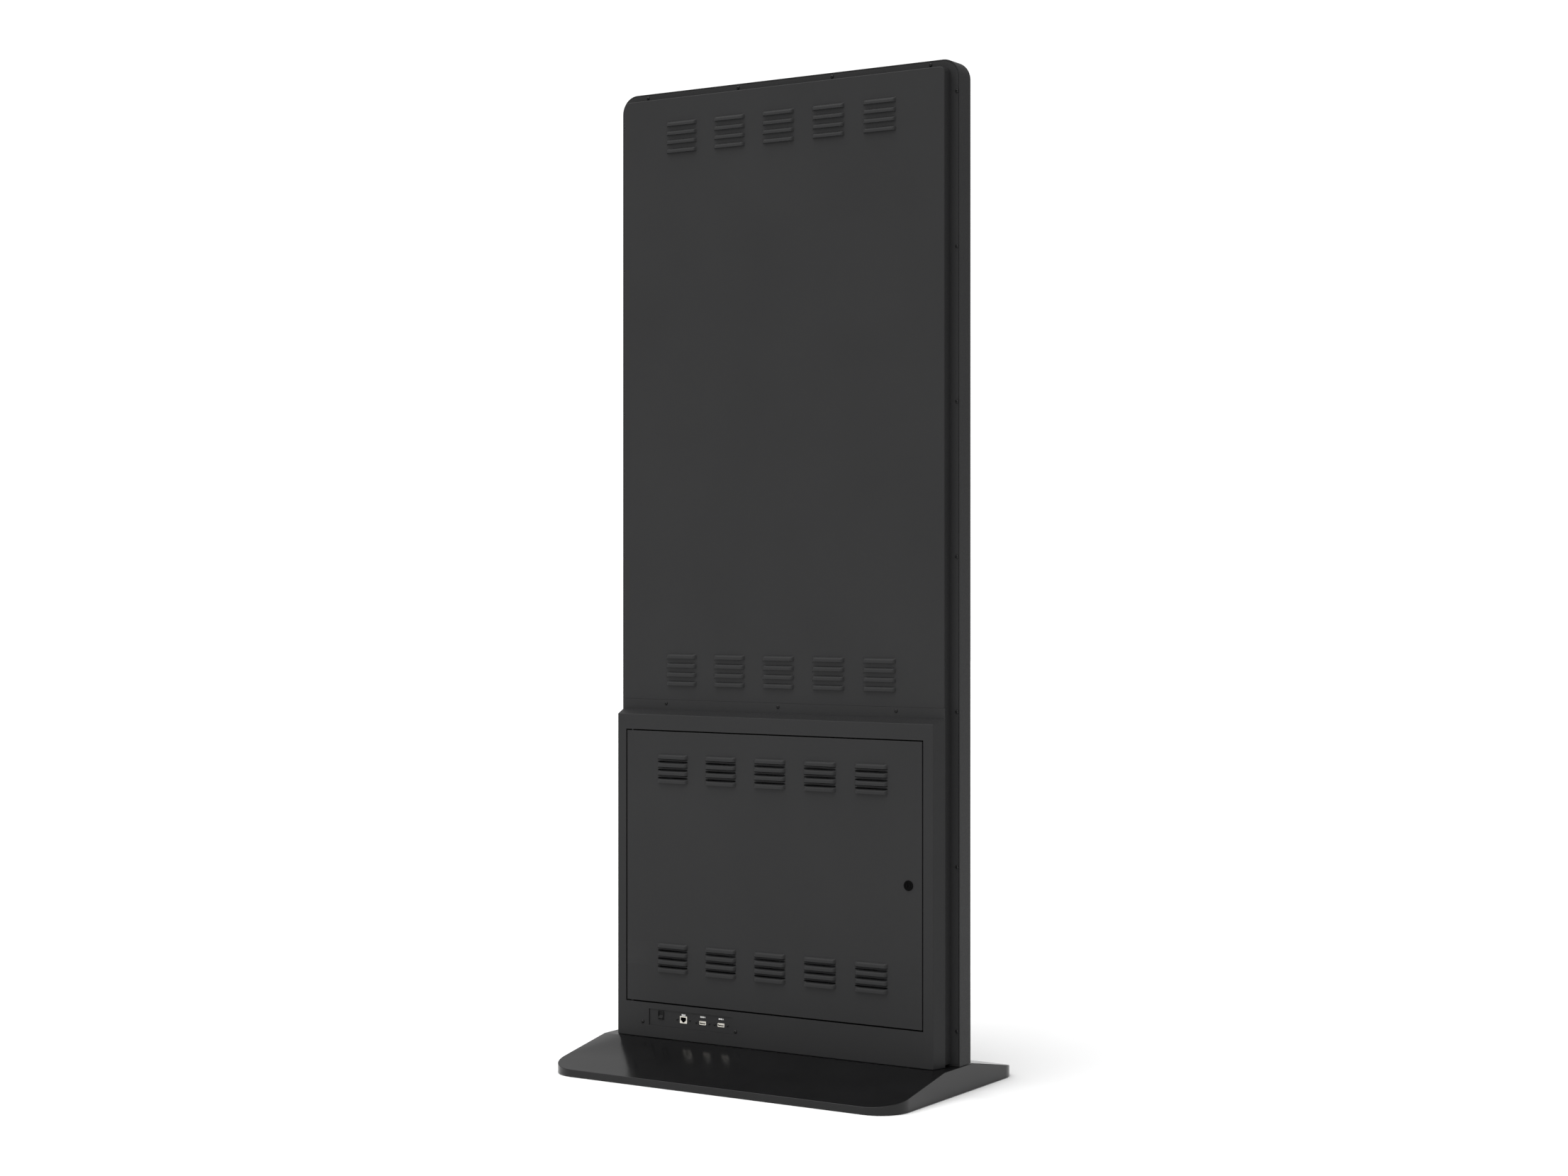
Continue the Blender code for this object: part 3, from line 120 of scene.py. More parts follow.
def zinc_finish():
    """Black zinc plating: soft crystal patches and faint drawing lines."""
    finish, tree, shader = new_finish("black_zinc_plating", (0.050, 0.051, 0.054), 0.42, 0.8)
    crystals = add_pattern(tree, "ShaderNodeTexVoronoi")
    crystals.inputs["Scale"].default_value = 140.0
    parts = tree.nodes.new("ShaderNodeSeparateColor")
    tree.links.new(crystals.outputs["Color"], parts.inputs["Color"])
    vary(tree, parts.outputs["Red"], shader.inputs["Base Color"],
         (0.047, 0.048, 0.051), (0.054, 0.055, 0.058))
    vary(tree, spots(tree, 60.0, 4.0), shader.inputs["Roughness"], 0.34, 0.52)
    roughen(tree, shader, spots(tree, 900.0, 2.0, (1.0, 1.0, 0.05)), 0.00004, 0.4)
    return finish


black_zinc = zinc_finish()
coat_node(black_zinc, "zinc_steel", "base_plate")


# ---- Feet and cable grommet ----------------------------------------------------------
# Four low pads under the ballast plate and a bush round its cable hole, moulded in
# black rubber and pushed or glued on. The surface is dull and slightly pitted.
def grained_finish(name, colour, roughness, metallic=0.0, specular=0.5,
                   tones=None, gloss=None, grain=None):
    """A finish whose tone, gloss and relief each follow spots: (spots, low, high or depth)."""
    finish, tree, shader = new_finish(name, colour, roughness, metallic)
    shader.inputs["Specular IOR Level"].default_value = specular
    if tones:
        vary(tree, spots(tree, *tones[0]), shader.inputs["Base Color"], *tones[1:])
    if gloss:
        vary(tree, spots(tree, *gloss[0]), shader.inputs["Roughness"], *gloss[1:])
    if grain:
        roughen(tree, shader, spots(tree, *grain[0]), *grain[1:])
    return finish


black_rubber = grained_finish(
    "black_rubber", (0.016, 0.016, 0.016), 0.78,
    tones=((35.0, 4.0), (0.012, 0.012, 0.012), (0.024, 0.024, 0.023)),
    grain=((1500.0,), 0.0001, 0.5))
coat_node(black_rubber, "rubber", "foot_pad_1", "foot_pad_2", "foot_pad_3", "foot_pad_4",
          "cable_grommet")


# ---- Base cover ----------------------------------------------------------------------
# Low cover over the ballast plate: two long slopes up to a narrow flat top, with wide
# round corners in plan. Folded and welded steel, sprayed and polished to a black gloss.
BASE_EDGE = 0.0144
BASE_ROUND = 0.060
BASE_ROUND_STEPS = 14
BASE_SHEET = 0.003
PLATEAU = 0.0543
BASE_EDGE_SOFTNESS = 0.0009
FOOT_PLATE_MARGIN = 0.022
UPRIGHT_ROOM = 0.001
CREASE_REACH = 0.0004
LONG_EDGE = 0.01
FLAT = 0.9
WINDOW_REACH = 0.0001
MERGE_DISTANCE = 0.00001


def choose(*pieces):
    """Leave edit mode and select these pieces only, the first one active."""
    if bpy.context.mode != "OBJECT":
        bpy.ops.object.mode_set(mode="OBJECT")
    bpy.ops.object.select_all(action="DESELECT")
    for piece in reversed(pieces):
        piece.select_set(True)
        bpy.context.view_layer.objects.active = piece


def start_piece(name, primitive, extent, middle, turn=(0.0, 0.0, 0.0), **details):
    """Add a primitive at its size and place, alone in the selection, ready to edit."""
    choose()
    add = getattr(bpy.ops.mesh, "primitive_%s_add" % primitive)
    add(location=middle, rotation=turn, **details)
    piece = bpy.context.object
    piece.name = name
    piece.data.name = name
    piece.scale = extent
    bpy.ops.object.transform_apply(location=True, rotation=True, scale=True)
    bpy.ops.object.mode_set(mode="EDIT")
    return piece


def pick(piece, kind, test):
    """Select the points, edges or faces that pass a test on their middle."""
    bpy.ops.mesh.select_mode(type={"verts": "VERT", "edges": "EDGE", "faces": "FACE"}[kind])
    bpy.ops.mesh.select_all(action="DESELECT")
    shape = bmesh.from_edit_mesh(piece.data)
    for part in getattr(shape, kind):
        if kind == "verts":
            chosen = test(part.co)
        elif kind == "edges":
            chosen = test((part.verts[0].co + part.verts[1].co) / 2, part)
        else:
            chosen = test(part.calc_center_median(), part.normal)
        if chosen:
            part.select_set(True)
    bmesh.update_edit_mesh(piece.data)


def near(value, wanted, reach=0.00005):
    return abs(value - wanted) < reach


def length(edge, axis):
    """How far an edge runs along one axis."""
    return abs(edge.verts[0].co[axis] - edge.verts[1].co[axis])


def close_edit(piece, outwards=None):
    """Merge doubled points, turn the faces outwards and leave edit mode."""
    bpy.ops.mesh.select_mode(type="VERT")
    bpy.ops.mesh.select_all(action="SELECT")
    bpy.ops.mesh.remove_doubles(threshold=MERGE_DISTANCE)
    bpy.ops.mesh.normals_make_consistent(inside=False)
    if outwards is not None:
        shape = bmesh.from_edit_mesh(piece.data)
        if sum(face.normal.dot(outwards) * face.calc_area() for face in shape.faces) < 0.0:
            bpy.ops.mesh.flip_normals()
    bpy.ops.object.mode_set(mode="OBJECT")


def work(piece, kind, **values):
    """Add a modifier, set it and apply it."""
    choose(piece)
    modifier = piece.modifiers.new(kind.lower(), kind)
    for name, value in values.items():
        setattr(modifier, name, value)
    bpy.ops.object.modifier_apply(modifier=modifier.name)


def thicken(piece, thickness):
    """Give a folded surface its sheet thickness, inwards from its outer face."""
    work(piece, "SOLIDIFY", thickness=thickness, offset=-1.0, use_even_offset=True,
         use_quality_normals=True)


def soften(piece, width, segments=3, angle=30.0):
    """Take the sharpness off every edge."""
    work(piece, "BEVEL", width=width, segments=segments, limit_method="ANGLE",
         angle_limit=math.radians(angle), use_clamp_overlap=True, harden_normals=False)


def smooth(piece, angle=35.0):
    """Smooth the curves and keep the flats flat."""
    choose(piece)
    bpy.ops.object.shade_smooth_by_angle(angle=math.radians(angle))
    work(piece, "WEIGHTED_NORMAL", keep_sharp=True, weight=60)


def fold_walls(piece, start, depth):
    """Pull a flat outline back along Y, which leaves walls behind it and no floor."""
    bpy.ops.mesh.select_all(action="SELECT")
    bpy.ops.mesh.extrude_region_move(TRANSFORM_OT_translate={"value": (0.0, depth, 0.0)})
    pick(piece, "faces", lambda middle, normal: near(middle.y, start))
    bpy.ops.mesh.delete(type="ONLY_FACE")
    bpy.ops.mesh.select_all(action="SELECT")
    bpy.ops.mesh.normals_make_consistent(inside=False)


def fit(piece, finish, slot, body, *nodes):
    """Give a finished piece its finish and the body it moves with; its slot is not used."""
    piece.data.materials.clear()
    piece.data.materials.append(finish)
    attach(piece, body)
    if nodes:
        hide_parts(*nodes)


def open_window(piece, low, high, across, up):
    """Cut a sheet along the four sides of a box and take out what is inside it."""
    through = 3 - across - up
    reach = WINDOW_REACH
    for axis in (across, up):
        for place in (low[axis], high[axis]):
            pick(piece, "faces", lambda middle, normal: abs(normal[through]) > FLAT
                 and low[through] - reach < middle[through] < high[through] + reach)
            direction = Vector((0.0, 0.0, 0.0))
            direction[axis] = 1.0
            point = Vector((low + high) / 2)
            point[axis] = place
            bpy.ops.mesh.bisect(plane_co=point, plane_no=direction)
    pick(piece, "faces", lambda middle, normal: abs(normal[through]) > FLAT
         and all(low[axis] - reach < middle[axis] < high[axis] + reach for axis in range(3)))
    bpy.ops.mesh.delete(type="FACE")


gloss_black = grained_finish(
    "gloss_black_paint", (0.006, 0.006, 0.0063), 0.16, specular=0.30,
    tones=((9.0, 3.0), (0.005, 0.005, 0.0052), (0.007, 0.007, 0.0073)),
    gloss=((22.0, 6.0), 0.14, 0.20), grain=((70.0, 1.0), 0.0001, 0.06))
base_low, base_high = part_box("base_plinth")
base_top = base_high.z
base_width, base_depth = base_high.x - base_low.x, base_high.y - base_low.y
base = start_piece("base_cover", "plane", (base_width, base_depth, 1.0),
                   (0.0, 0.0, base_low.z), size=1.0)
pick(base, "verts", lambda point: True)
bpy.ops.mesh.bevel(offset=BASE_ROUND, segments=BASE_ROUND_STEPS, affect="VERTICES")
bpy.ops.mesh.select_all(action="SELECT")
bpy.ops.mesh.extrude_region_move(TRANSFORM_OT_translate={"value": (0.0, 0.0, base_top)})
bpy.ops.mesh.select_all(action="SELECT")
bpy.ops.mesh.normals_make_consistent(inside=False)
slope_run = base_depth / 2 - PLATEAU
slope_rise = base_top - BASE_EDGE
for side in (1.0, -1.0):
    bpy.ops.mesh.select_all(action="SELECT")
    bpy.ops.mesh.bisect(plane_co=(0.0, side * PLATEAU, base_top),
                        plane_no=(0.0, side * slope_rise, slope_run),
                        use_fill=True, clear_outer=True)
bpy.ops.mesh.select_all(action="SELECT")
bpy.ops.mesh.bisect(plane_co=(0.0, 0.0, base_top), plane_no=(0.0, 0.0, 1.0),
                    use_fill=True, clear_outer=True)
close_edit(base)
soften(base, BASE_EDGE_SOFTNESS)
bpy.ops.object.mode_set(mode="EDIT")
pick(base, "faces", lambda middle, normal: normal.z < -FLAT)
bpy.ops.mesh.delete(type="FACE")
for name in ("upright_left", "upright_right"):
    low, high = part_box(name)
    margin = FOOT_PLATE_MARGIN - UPRIGHT_ROOM
    room = Vector((margin, margin, 0.0))
    low, high = low + room, high - room
    low.z, high.z = base_top - UPRIGHT_ROOM, base_top + UPRIGHT_ROOM
    open_window(base, low, high, 0, 1)
close_edit(base)
thicken(base, BASE_SHEET)
smooth(base)
bpy.ops.object.mode_set(mode="EDIT")
pick(base, "edges", lambda middle, edge: near(abs(middle.y), PLATEAU, CREASE_REACH)
     and middle.z > base_top - 2 * CREASE_REACH and length(edge, 0) > LONG_EDGE)
bpy.ops.mesh.mark_sharp()
bpy.ops.object.mode_set(mode="OBJECT")
fit(base, gloss_black, "gloss_base", "stand", "base_plinth")


# ---- Uprights and display rails ------------------------------------------------------
# Two square steel tubes welded to foot plates carry the whole body, and two flat rails
# across them hold the display. All are black zinc plated.
coat_node(black_zinc, "zinc_steel", "upright_left", "upright_right", "display_rail_lower",
          "display_rail_upper")


# ---- Front frame ---------------------------------------------------------------------
# Slim ring round the glass and the rear cover, with two inner ledges that they sit on.
# Bent from aluminium strip, welded, and powder-coated charcoal with a fine grain.
FRAME_WALL = 0.0025
FRAME_LEDGE = 0.0165
FRAME_SOFTNESS = 0.0007
BODY_ROUND = 0.035
BODY_ROUND_STEPS = 12
SHEET = 0.0015
GAP = 0.0003
BACKWARDS = Vector((0.0, 1.0, 0.0))
FACING_BACK = (-math.pi / 2, 0.0, 0.0)


def start_outline(name, inset, y):
    """Flat outline of the body at one depth, with its two round top corners."""
    left, bottom = frame_low.x + inset, frame_low.z + inset
    right, top = frame_high.x - inset, frame_high.z - inset
    piece = start_piece(name, "plane", (right - left, top - bottom, 1.0),
                        ((left + right) / 2, y, (bottom + top) / 2), FACING_BACK, size=1.0)
    pick(piece, "verts", lambda point: point.z > top - GAP)
    bpy.ops.mesh.bevel(offset=BODY_ROUND - inset, segments=BODY_ROUND_STEPS, affect="VERTICES")
    return piece


def join(*pieces):
    """Make one piece of several; the first keeps its name."""
    choose(*pieces)
    bpy.ops.object.join()
    return pieces[0]


charcoal = grained_finish(
    "charcoal_powder_coat", (0.0212, 0.0212, 0.0217), 0.5, specular=0.17,
    tones=((5.0, 3.0), (0.0202, 0.0202, 0.0207), (0.0222, 0.0222, 0.0227)),
    gloss=((420.0, 3.0), 0.44, 0.56), grain=((1300.0, 2.0), 0.00006, 0.35))
frame_low, frame_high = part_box("front_frame")
glass_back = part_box("front_glass")[1].y
rim_y = frame_high.y
frame_ring = start_outline("frame_ring", 0.0, frame_low.y)
fold_walls(frame_ring, frame_low.y, rim_y - frame_low.y)
pick(frame_ring, "faces", lambda middle, normal: near(middle.y, rim_y))
bpy.ops.mesh.delete(type="ONLY_FACE")
close_edit(frame_ring)
thicken(frame_ring, FRAME_WALL)
soften(frame_ring, FRAME_SOFTNESS)
ledges = []
for number, front in enumerate((glass_back + GAP, rim_y - 2 * SHEET - GAP)):
    ledge = start_outline("frame_ledge_%d" % number, FRAME_WALL - GAP, front + SHEET)
    bpy.ops.mesh.select_all(action="SELECT")
    bpy.ops.mesh.inset(thickness=FRAME_LEDGE, depth=0.0)
    bpy.ops.mesh.delete(type="FACE")
    close_edit(ledge, BACKWARDS)
    thicken(ledge, SHEET)
    ledges.append(ledge)
join(frame_ring, *ledges)
smooth(frame_ring)
fit(frame_ring, charcoal, "powder_coat", "stand", "front_frame")


# ---- Display -------------------------------------------------------------------------
# 55 inch portrait panel on a foam gasket behind the glass, with its circuit boards on the
# back. The face is switched off: a dark, slightly blue filter over a fine dot grid.
DOT_PITCH = 0.0021
DOT_GAP = 0.0003


def display_finish():
    finish, tree, shader = new_finish("display_face", (0.008, 0.009, 0.011), 0.28)
    shader.inputs["Coat Weight"].default_value = 0.25
    shader.inputs["Coat Roughness"].default_value = 0.2
    dots = tree.nodes.new("ShaderNodeTexBrick")
    dots.inputs["Scale"].default_value = 1.0
    dots.inputs["Brick Width"].default_value = DOT_PITCH
    dots.inputs["Row Height"].default_value = DOT_PITCH
    dots.inputs["Mortar Size"].default_value = DOT_GAP
    dots.inputs["Color1"].default_value = (0.0085, 0.0095, 0.0120, 1.0)
    dots.inputs["Color2"].default_value = (0.0075, 0.0085, 0.0110, 1.0)
    dots.inputs["Mortar"].default_value = (0.0050, 0.0050, 0.0060, 1.0)
    turn = add_pattern(tree, "ShaderNodeMapping")
    turn.inputs["Rotation"].default_value = (math.pi / 2, 0.0, 0.0)
    tree.links.new(turn.outputs["Vector"], dots.inputs["Vector"])
    tree.links.new(dots.outputs["Color"], shader.inputs["Base Color"])
    vary(tree, spots(tree, 4.0, 2.0), shader.inputs["Roughness"], 0.26, 0.32)
    return finish


def board_finish():
    """Solder mask with pale copper runs under it."""
    finish, tree, shader = new_finish("circuit_board", (0.012, 0.085, 0.040), 0.4)
    runs = add_pattern(tree, "ShaderNodeTexVoronoi")
    runs.distance = "MANHATTAN"
    runs.feature = "F1"
    runs.inputs["Scale"].default_value = 260.0
    vary(tree, runs.outputs["Distance"], shader.inputs["Base Color"],
         (0.010, 0.070, 0.032), (0.035, 0.150, 0.070))
    vary(tree, spots(tree, 90.0, 3.0), shader.inputs["Roughness"], 0.3, 0.5)
    roughen(tree, shader, runs.outputs["Distance"], 0.0001, 0.3)
    return finish


display_face = display_finish()
circuit_board = board_finish()
coat_node(black_rubber, "rubber", "display_gasket")
coat_node(display_face, "display_face", "display_module")
coat_node(circuit_board, "circuit_board", "display_driver_board", "touch_controller_board")


# ---- Touch glass ---------------------------------------------------------------------
# One sheet of 4 mm toughened glass over the whole front, with ground edges. A black
# ceramic border is printed on its back, and the display shows through the clear middle.
GLASS_EDGE = 0.0005
PRINT_THICKNESS = 0.0001
SCREEN_HALF_WIDTH = 0.3402
SCREEN_HALF_HEIGHT = 0.6048
SCREEN_MIDDLE = 1.250


def glass_finish():
    finish, tree, shader = new_finish("touch_glass", (0.93, 0.95, 0.95), 0.02)
    shader.inputs["Transmission Weight"].default_value = 1.0
    shader.inputs["IOR"].default_value = 1.5
    vary(tree, spots(tree, 6.0, 2.0), shader.inputs["Roughness"], 0.018, 0.022)
    return finish


GLASS_INSET = FRAME_WALL + GAP
glass_low, glass_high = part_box("front_glass")
touch_glass = start_outline("touch_glass", GLASS_INSET, glass_high.y)
close_edit(touch_glass, BACKWARDS)
thicken(touch_glass, glass_high.y - glass_low.y)
soften(touch_glass, GLASS_EDGE, 2)
smooth(touch_glass)
fit(touch_glass, glass_finish(), "front_glass", "stand", "front_glass")

border_print = start_outline("border_print", GLASS_INSET + GLASS_EDGE,
                             glass_high.y + 1.5 * PRINT_THICKNESS)
open_window(border_print,
            Vector((-SCREEN_HALF_WIDTH, glass_high.y, SCREEN_MIDDLE - SCREEN_HALF_HEIGHT)),
            Vector((SCREEN_HALF_WIDTH, glass_high.y + 2 * PRINT_THICKNESS,
                    SCREEN_MIDDLE + SCREEN_HALF_HEIGHT)), 0, 2)
close_edit(border_print, BACKWARDS)
thicken(border_print, PRINT_THICKNESS)
smooth(border_print)
border_black = grained_finish(
    "black_border_print", (0.004, 0.004, 0.004), 0.35,
    tones=((700.0, 2.0), (0.0035, 0.0035, 0.0035), (0.0055, 0.0055, 0.0055)),
    gloss=((40.0, 3.0), 0.3, 0.4))
fit(border_print, border_black, "front_glass", "stand")


# ---- Rear cover ----------------------------------------------------------------------
# Shallow steel pan over the back of the display, with a flange that the rim screws hold
# to the frame. Two rows of louvres are pressed through it before it is powder-coated.
BEND = 0.0016
COVER_SIDE = 0.020
COVER_ROUND = 0.010
COVER_FOOT = 0.0043
COVER_DROP = 0.017
COVER_DEPTH = 0.0225
ACCESS_HALF = 0.320
ACCESS_BOTTOM = 0.072
ACCESS_TOP = 0.662
COVER_PITCH = 0.0175
COVER_UPPER_DROP = 0.0635
COVER_LOWER_EDGE = 0.7975
LOUVRES = 4
LOUVRE_GROUPS = 5
LOUVRE_HALF = 0.035
LOUVRE_SPACING = 0.1115
LOUVRE_ENDS = ((0.0, 0.0), (0.0014, 0.42), (0.0030, 0.78), (0.0052, 0.95), (0.0078, 1.0))
LOUVRE_SECTION = ((0.0, 0.0), (0.0007, 0.0018), (0.0018, 0.0034), (0.0034, 0.0047),
                  (0.0056, 0.0053), (0.0090, 0.0055))
LOUVRE_HEIGHT = 0.0090
STRIP_HEIGHT_SHARE = 0.70
STRIP_SINK = 0.0025
STRIP_MIDDLE_SHARE = 0.35
LIP_GAP = 0.0016
ROOT_SINK = 0.0012


def cut_lines(piece, axis, places, test):
    """Score the chosen faces with straight lines across one axis."""
    direction = Vector((0.0, 0.0, 0.0))
    direction[axis] = 1.0
    for place in places:
        pick(piece, "faces", test)
        bpy.ops.mesh.bisect(plane_co=direction * place, plane_no=direction)


def louvre_patch(name, middle, top, bottom, y, rows):
    """Flat patch of one louvre, scored where its section bends."""
    half = LOUVRE_HALF
    piece = start_piece(name, "plane", (2 * half, top - bottom, 1.0),
                        (middle, y, (top + bottom) / 2), FACING_BACK, size=1.0)
    columns = [middle + side * (half - end)
               for end, share in LOUVRE_ENDS[1:] for side in (1, -1)]
    cut_lines(piece, 0, columns, lambda point, normal: True)
    cut_lines(piece, 2, rows, lambda point, normal: True)
    return piece


def press(piece, middle, height, amount):
    """Push one row of a patch in or out, less towards the ends."""
    for end, share in LOUVRE_ENDS[1:]:
        pick(piece, "verts", lambda point: near(abs(point.x - middle), LOUVRE_HALF - end)
             and near(point.z, height))
        bpy.ops.transform.translate(value=(0.0, amount * share, 0.0))


def hood_patch(name, middle, top, y, root):
    """One pressed hood, open along its lower lip."""
    rows = [top - drop for drop, depth in LOUVRE_SECTION]
    piece = louvre_patch(name, middle, top, rows[-1], y, rows[1:-1])
    press(piece, middle, top, root)
    for height, (drop, depth) in zip(rows[1:], LOUVRE_SECTION[1:]):
        press(piece, middle, height, depth)
    bpy.ops.object.mode_set(mode="OBJECT")
    return piece


def strip_patch(name, middle, top, bottom, y):
    """The strip under a lip, bent inwards at its foot."""
    half_way = (top + bottom) / 2
    piece = louvre_patch(name, middle, top, bottom, y, [half_way])
    press(piece, middle, half_way, -STRIP_MIDDLE_SHARE * STRIP_SINK)
    press(piece, middle, bottom, -STRIP_SINK)
    bpy.ops.object.mode_set(mode="OBJECT")
    return piece


def copy_piece(original, name, shift):
    """A copy with its own mesh, moved by a distance."""
    duplicate = original.copy()
    duplicate.data = original.data.copy()
    duplicate.name = name
    duplicate.data.name = name
    duplicate.data.transform(Matrix.Translation(shift))
    bpy.context.scene.collection.objects.link(duplicate)
    return duplicate


def press_louvres(panel, y, upper_edge, pitch):
    """Press five groups of four louvres in a row through the flat of a panel."""
    lowest = upper_edge - (LOUVRES - 1) * pitch - LOUVRE_HEIGHT
    strip = STRIP_HEIGHT_SHARE * (pitch - LOUVRE_HEIGHT - LIP_GAP)
    middles = [(group - LOUVRE_GROUPS // 2) * LOUVRE_SPACING for group in range(LOUVRE_GROUPS)]

    def flat(point, normal):
        return near(point.y, y) and normal.y > FLAT

    def band(point, normal):
        return flat(point, normal) and lowest < point.z < upper_edge

    cut_lines(panel, 2, (upper_edge, lowest), flat)
    rows = []
    for louvre in range(LOUVRES):
        top = upper_edge - louvre * pitch
        rows += [top - drop for drop, depth in LOUVRE_SECTION]
        if louvre < LOUVRES - 1:
            strip_top = top - LOUVRE_HEIGHT - LIP_GAP
            rows += [strip_top, strip_top - strip / 2, strip_top - strip]
    cut_lines(panel, 2, rows[1:-1], band)
    columns = [middle + side * (LOUVRE_HALF - end)
               for middle in middles for end, share in LOUVRE_ENDS for side in (1, -1)]
    cut_lines(panel, 0, columns, band)
    pick(panel, "faces", lambda point, normal: band(point, normal)
         and any(abs(point.x - middle) < LOUVRE_HALF for middle in middles))
    bpy.ops.mesh.delete(type="FACE")
    bpy.ops.object.mode_set(mode="OBJECT")

    first = middles[0]
    patches = [hood_patch("hood", first, upper_edge, y, 0.0)]
    next_hood = hood_patch("next_hood", first, upper_edge - pitch, y, -ROOT_SINK)
    strip_top = upper_edge - LOUVRE_HEIGHT - LIP_GAP
    first_strip = strip_patch("strip", first, strip_top, strip_top - strip, y)
    patches += [next_hood, first_strip]
    for step in range(1, LOUVRES - 1):
        shift = Vector((0.0, 0.0, -step * pitch))
        patches += [copy_piece(next_hood, "hood", shift), copy_piece(first_strip, "strip", shift)]
    group = join(*patches)
    groups = [copy_piece(group, "hoods", Vector((step * LOUVRE_SPACING, 0.0, 0.0)))
              for step in range(1, LOUVRE_GROUPS)]
    join(panel, group, *groups)
    bpy.ops.object.mode_set(mode="EDIT")


def face_back(piece):
    """Turn round any face of a folded sheet that looks forward instead of back."""
    bpy.ops.object.mode_set(mode="EDIT")
    pick(piece, "faces", lambda middle, normal: normal.y < -0.01)
    bpy.ops.mesh.flip_normals()
    bpy.ops.object.mode_set(mode="OBJECT")


cover_y = rim_y + COVER_DEPTH
cover_half = frame_high.x - COVER_SIDE
cover_bottom, cover_top = frame_low.z + COVER_FOOT, frame_high.z - COVER_DROP
cover = start_piece("rear_cover_pan", "plane", (2 * cover_half, cover_top - cover_bottom, 1.0),
                    (0.0, rim_y, (cover_top + cover_bottom) / 2), FACING_BACK, size=1.0)
pick(cover, "verts", lambda point: point.z > cover_top - GAP)
bpy.ops.mesh.bevel(offset=COVER_ROUND, segments=BODY_ROUND_STEPS, affect="VERTICES")
fold_walls(cover, rim_y, COVER_DEPTH)
bpy.ops.object.mode_set(mode="OBJECT")
flange = start_outline("cover_flange", GLASS_INSET, rim_y)
bpy.ops.mesh.select_all(action="SELECT")
bpy.ops.mesh.delete(type="ONLY_FACE")
join(cover, flange)
bpy.ops.object.mode_set(mode="EDIT")
pick(cover, "edges", lambda middle, edge: near(middle.y, rim_y))
bpy.ops.mesh.bridge_edge_loops()
pick(cover, "edges", lambda middle, edge: near(middle.y, cover_y))
bpy.ops.mesh.bevel(offset=BEND, segments=4, affect="EDGES")
bpy.ops.mesh.select_all(action="SELECT")
bpy.ops.mesh.normals_make_consistent(inside=False)
open_window(cover, Vector((-ACCESS_HALF, cover_y, ACCESS_BOTTOM)),
            Vector((ACCESS_HALF, cover_y, ACCESS_TOP)), 0, 2)
press_louvres(cover, cover_y, frame_high.z - COVER_UPPER_DROP, COVER_PITCH)
press_louvres(cover, cover_y, COVER_LOWER_EDGE, COVER_PITCH)
close_edit(cover, BACKWARDS)
face_back(cover)
thicken(cover, SHEET)
smooth(cover)
fit(cover, charcoal, "powder_coat", "stand", "rear_cover")


# ---- Fans ----------------------------------------------------------------------------
# Two slim 80 mm fans behind the top louvres. Moulded in black plastic with a faint
# satin grain; the rotors turn freely.
black_plastic = grained_finish(
    "black_plastic", (0.006, 0.006, 0.0063), 0.45, specular=0.2,
    tones=((18.0, 3.0), (0.005, 0.005, 0.0053), (0.008, 0.008, 0.0083)),
    gloss=((260.0, 2.0), 0.36, 0.5), grain=((2200.0, 1.0), 0.00003, 0.4))
coat_node(black_plastic, "black_plastic", "fan_frame_left", "fan_frame_right",
          "fan_rotor_left", "fan_rotor_right")


# ---- Equipment on its tray -----------------------------------------------------------
# A plated steel tray across the uprights carries the media player, the power supply and
# two small speakers, where the service door gives access to them. All are screwed on.
CASE_EDGE = 0.0012
SUPPLY_EDGE = 0.0004


def refine(name, node, edge):
    """A copy of a CAD piece with its edges taken off."""
    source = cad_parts[node]
    piece = bpy.data.objects.new(name, source.data.copy())
    piece.data.name = name
    bpy.context.scene.collection.objects.link(piece)
    choose(piece)
    bpy.ops.object.mode_set(mode="EDIT")
    close_edit(piece)
    bpy.ops.object.mode_set(mode="EDIT")
    bpy.ops.mesh.select_all(action="SELECT")
    bpy.ops.mesh.dissolve_limited(angle_limit=math.radians(0.5))
    bpy.ops.object.mode_set(mode="OBJECT")
    soften(piece, edge, 2)
    smooth(piece)
    return piece


coat_node(black_zinc, "zinc_steel", "equipment_tray")
anodised_case = grained_finish(
    "anodised_case", (0.075, 0.078, 0.084), 0.4, metallic=0.8,
    tones=((12.0, 2.0), (0.068, 0.071, 0.077), (0.084, 0.087, 0.093)),
    gloss=((500.0, 3.0, (1.0, 1.0, 0.04)), 0.3, 0.5),
    grain=((1400.0, 1.0, (1.0, 1.0, 0.03)), 0.00003, 0.3))
for name, node, edge, finish, slot in (
        ("player_case", "media_player", CASE_EDGE, anodised_case, "player_case"),
        ("supply_case", "power_supply", SUPPLY_EDGE, black_zinc, "supply_case"),
        ("speaker_case_left", "speaker_left", CASE_EDGE, black_plastic, "black_plastic"),
        ("speaker_case_right", "speaker_right", CASE_EDGE, black_plastic, "black_plastic")):
    fit(refine(name, node, edge), finish, slot, "stand", node)


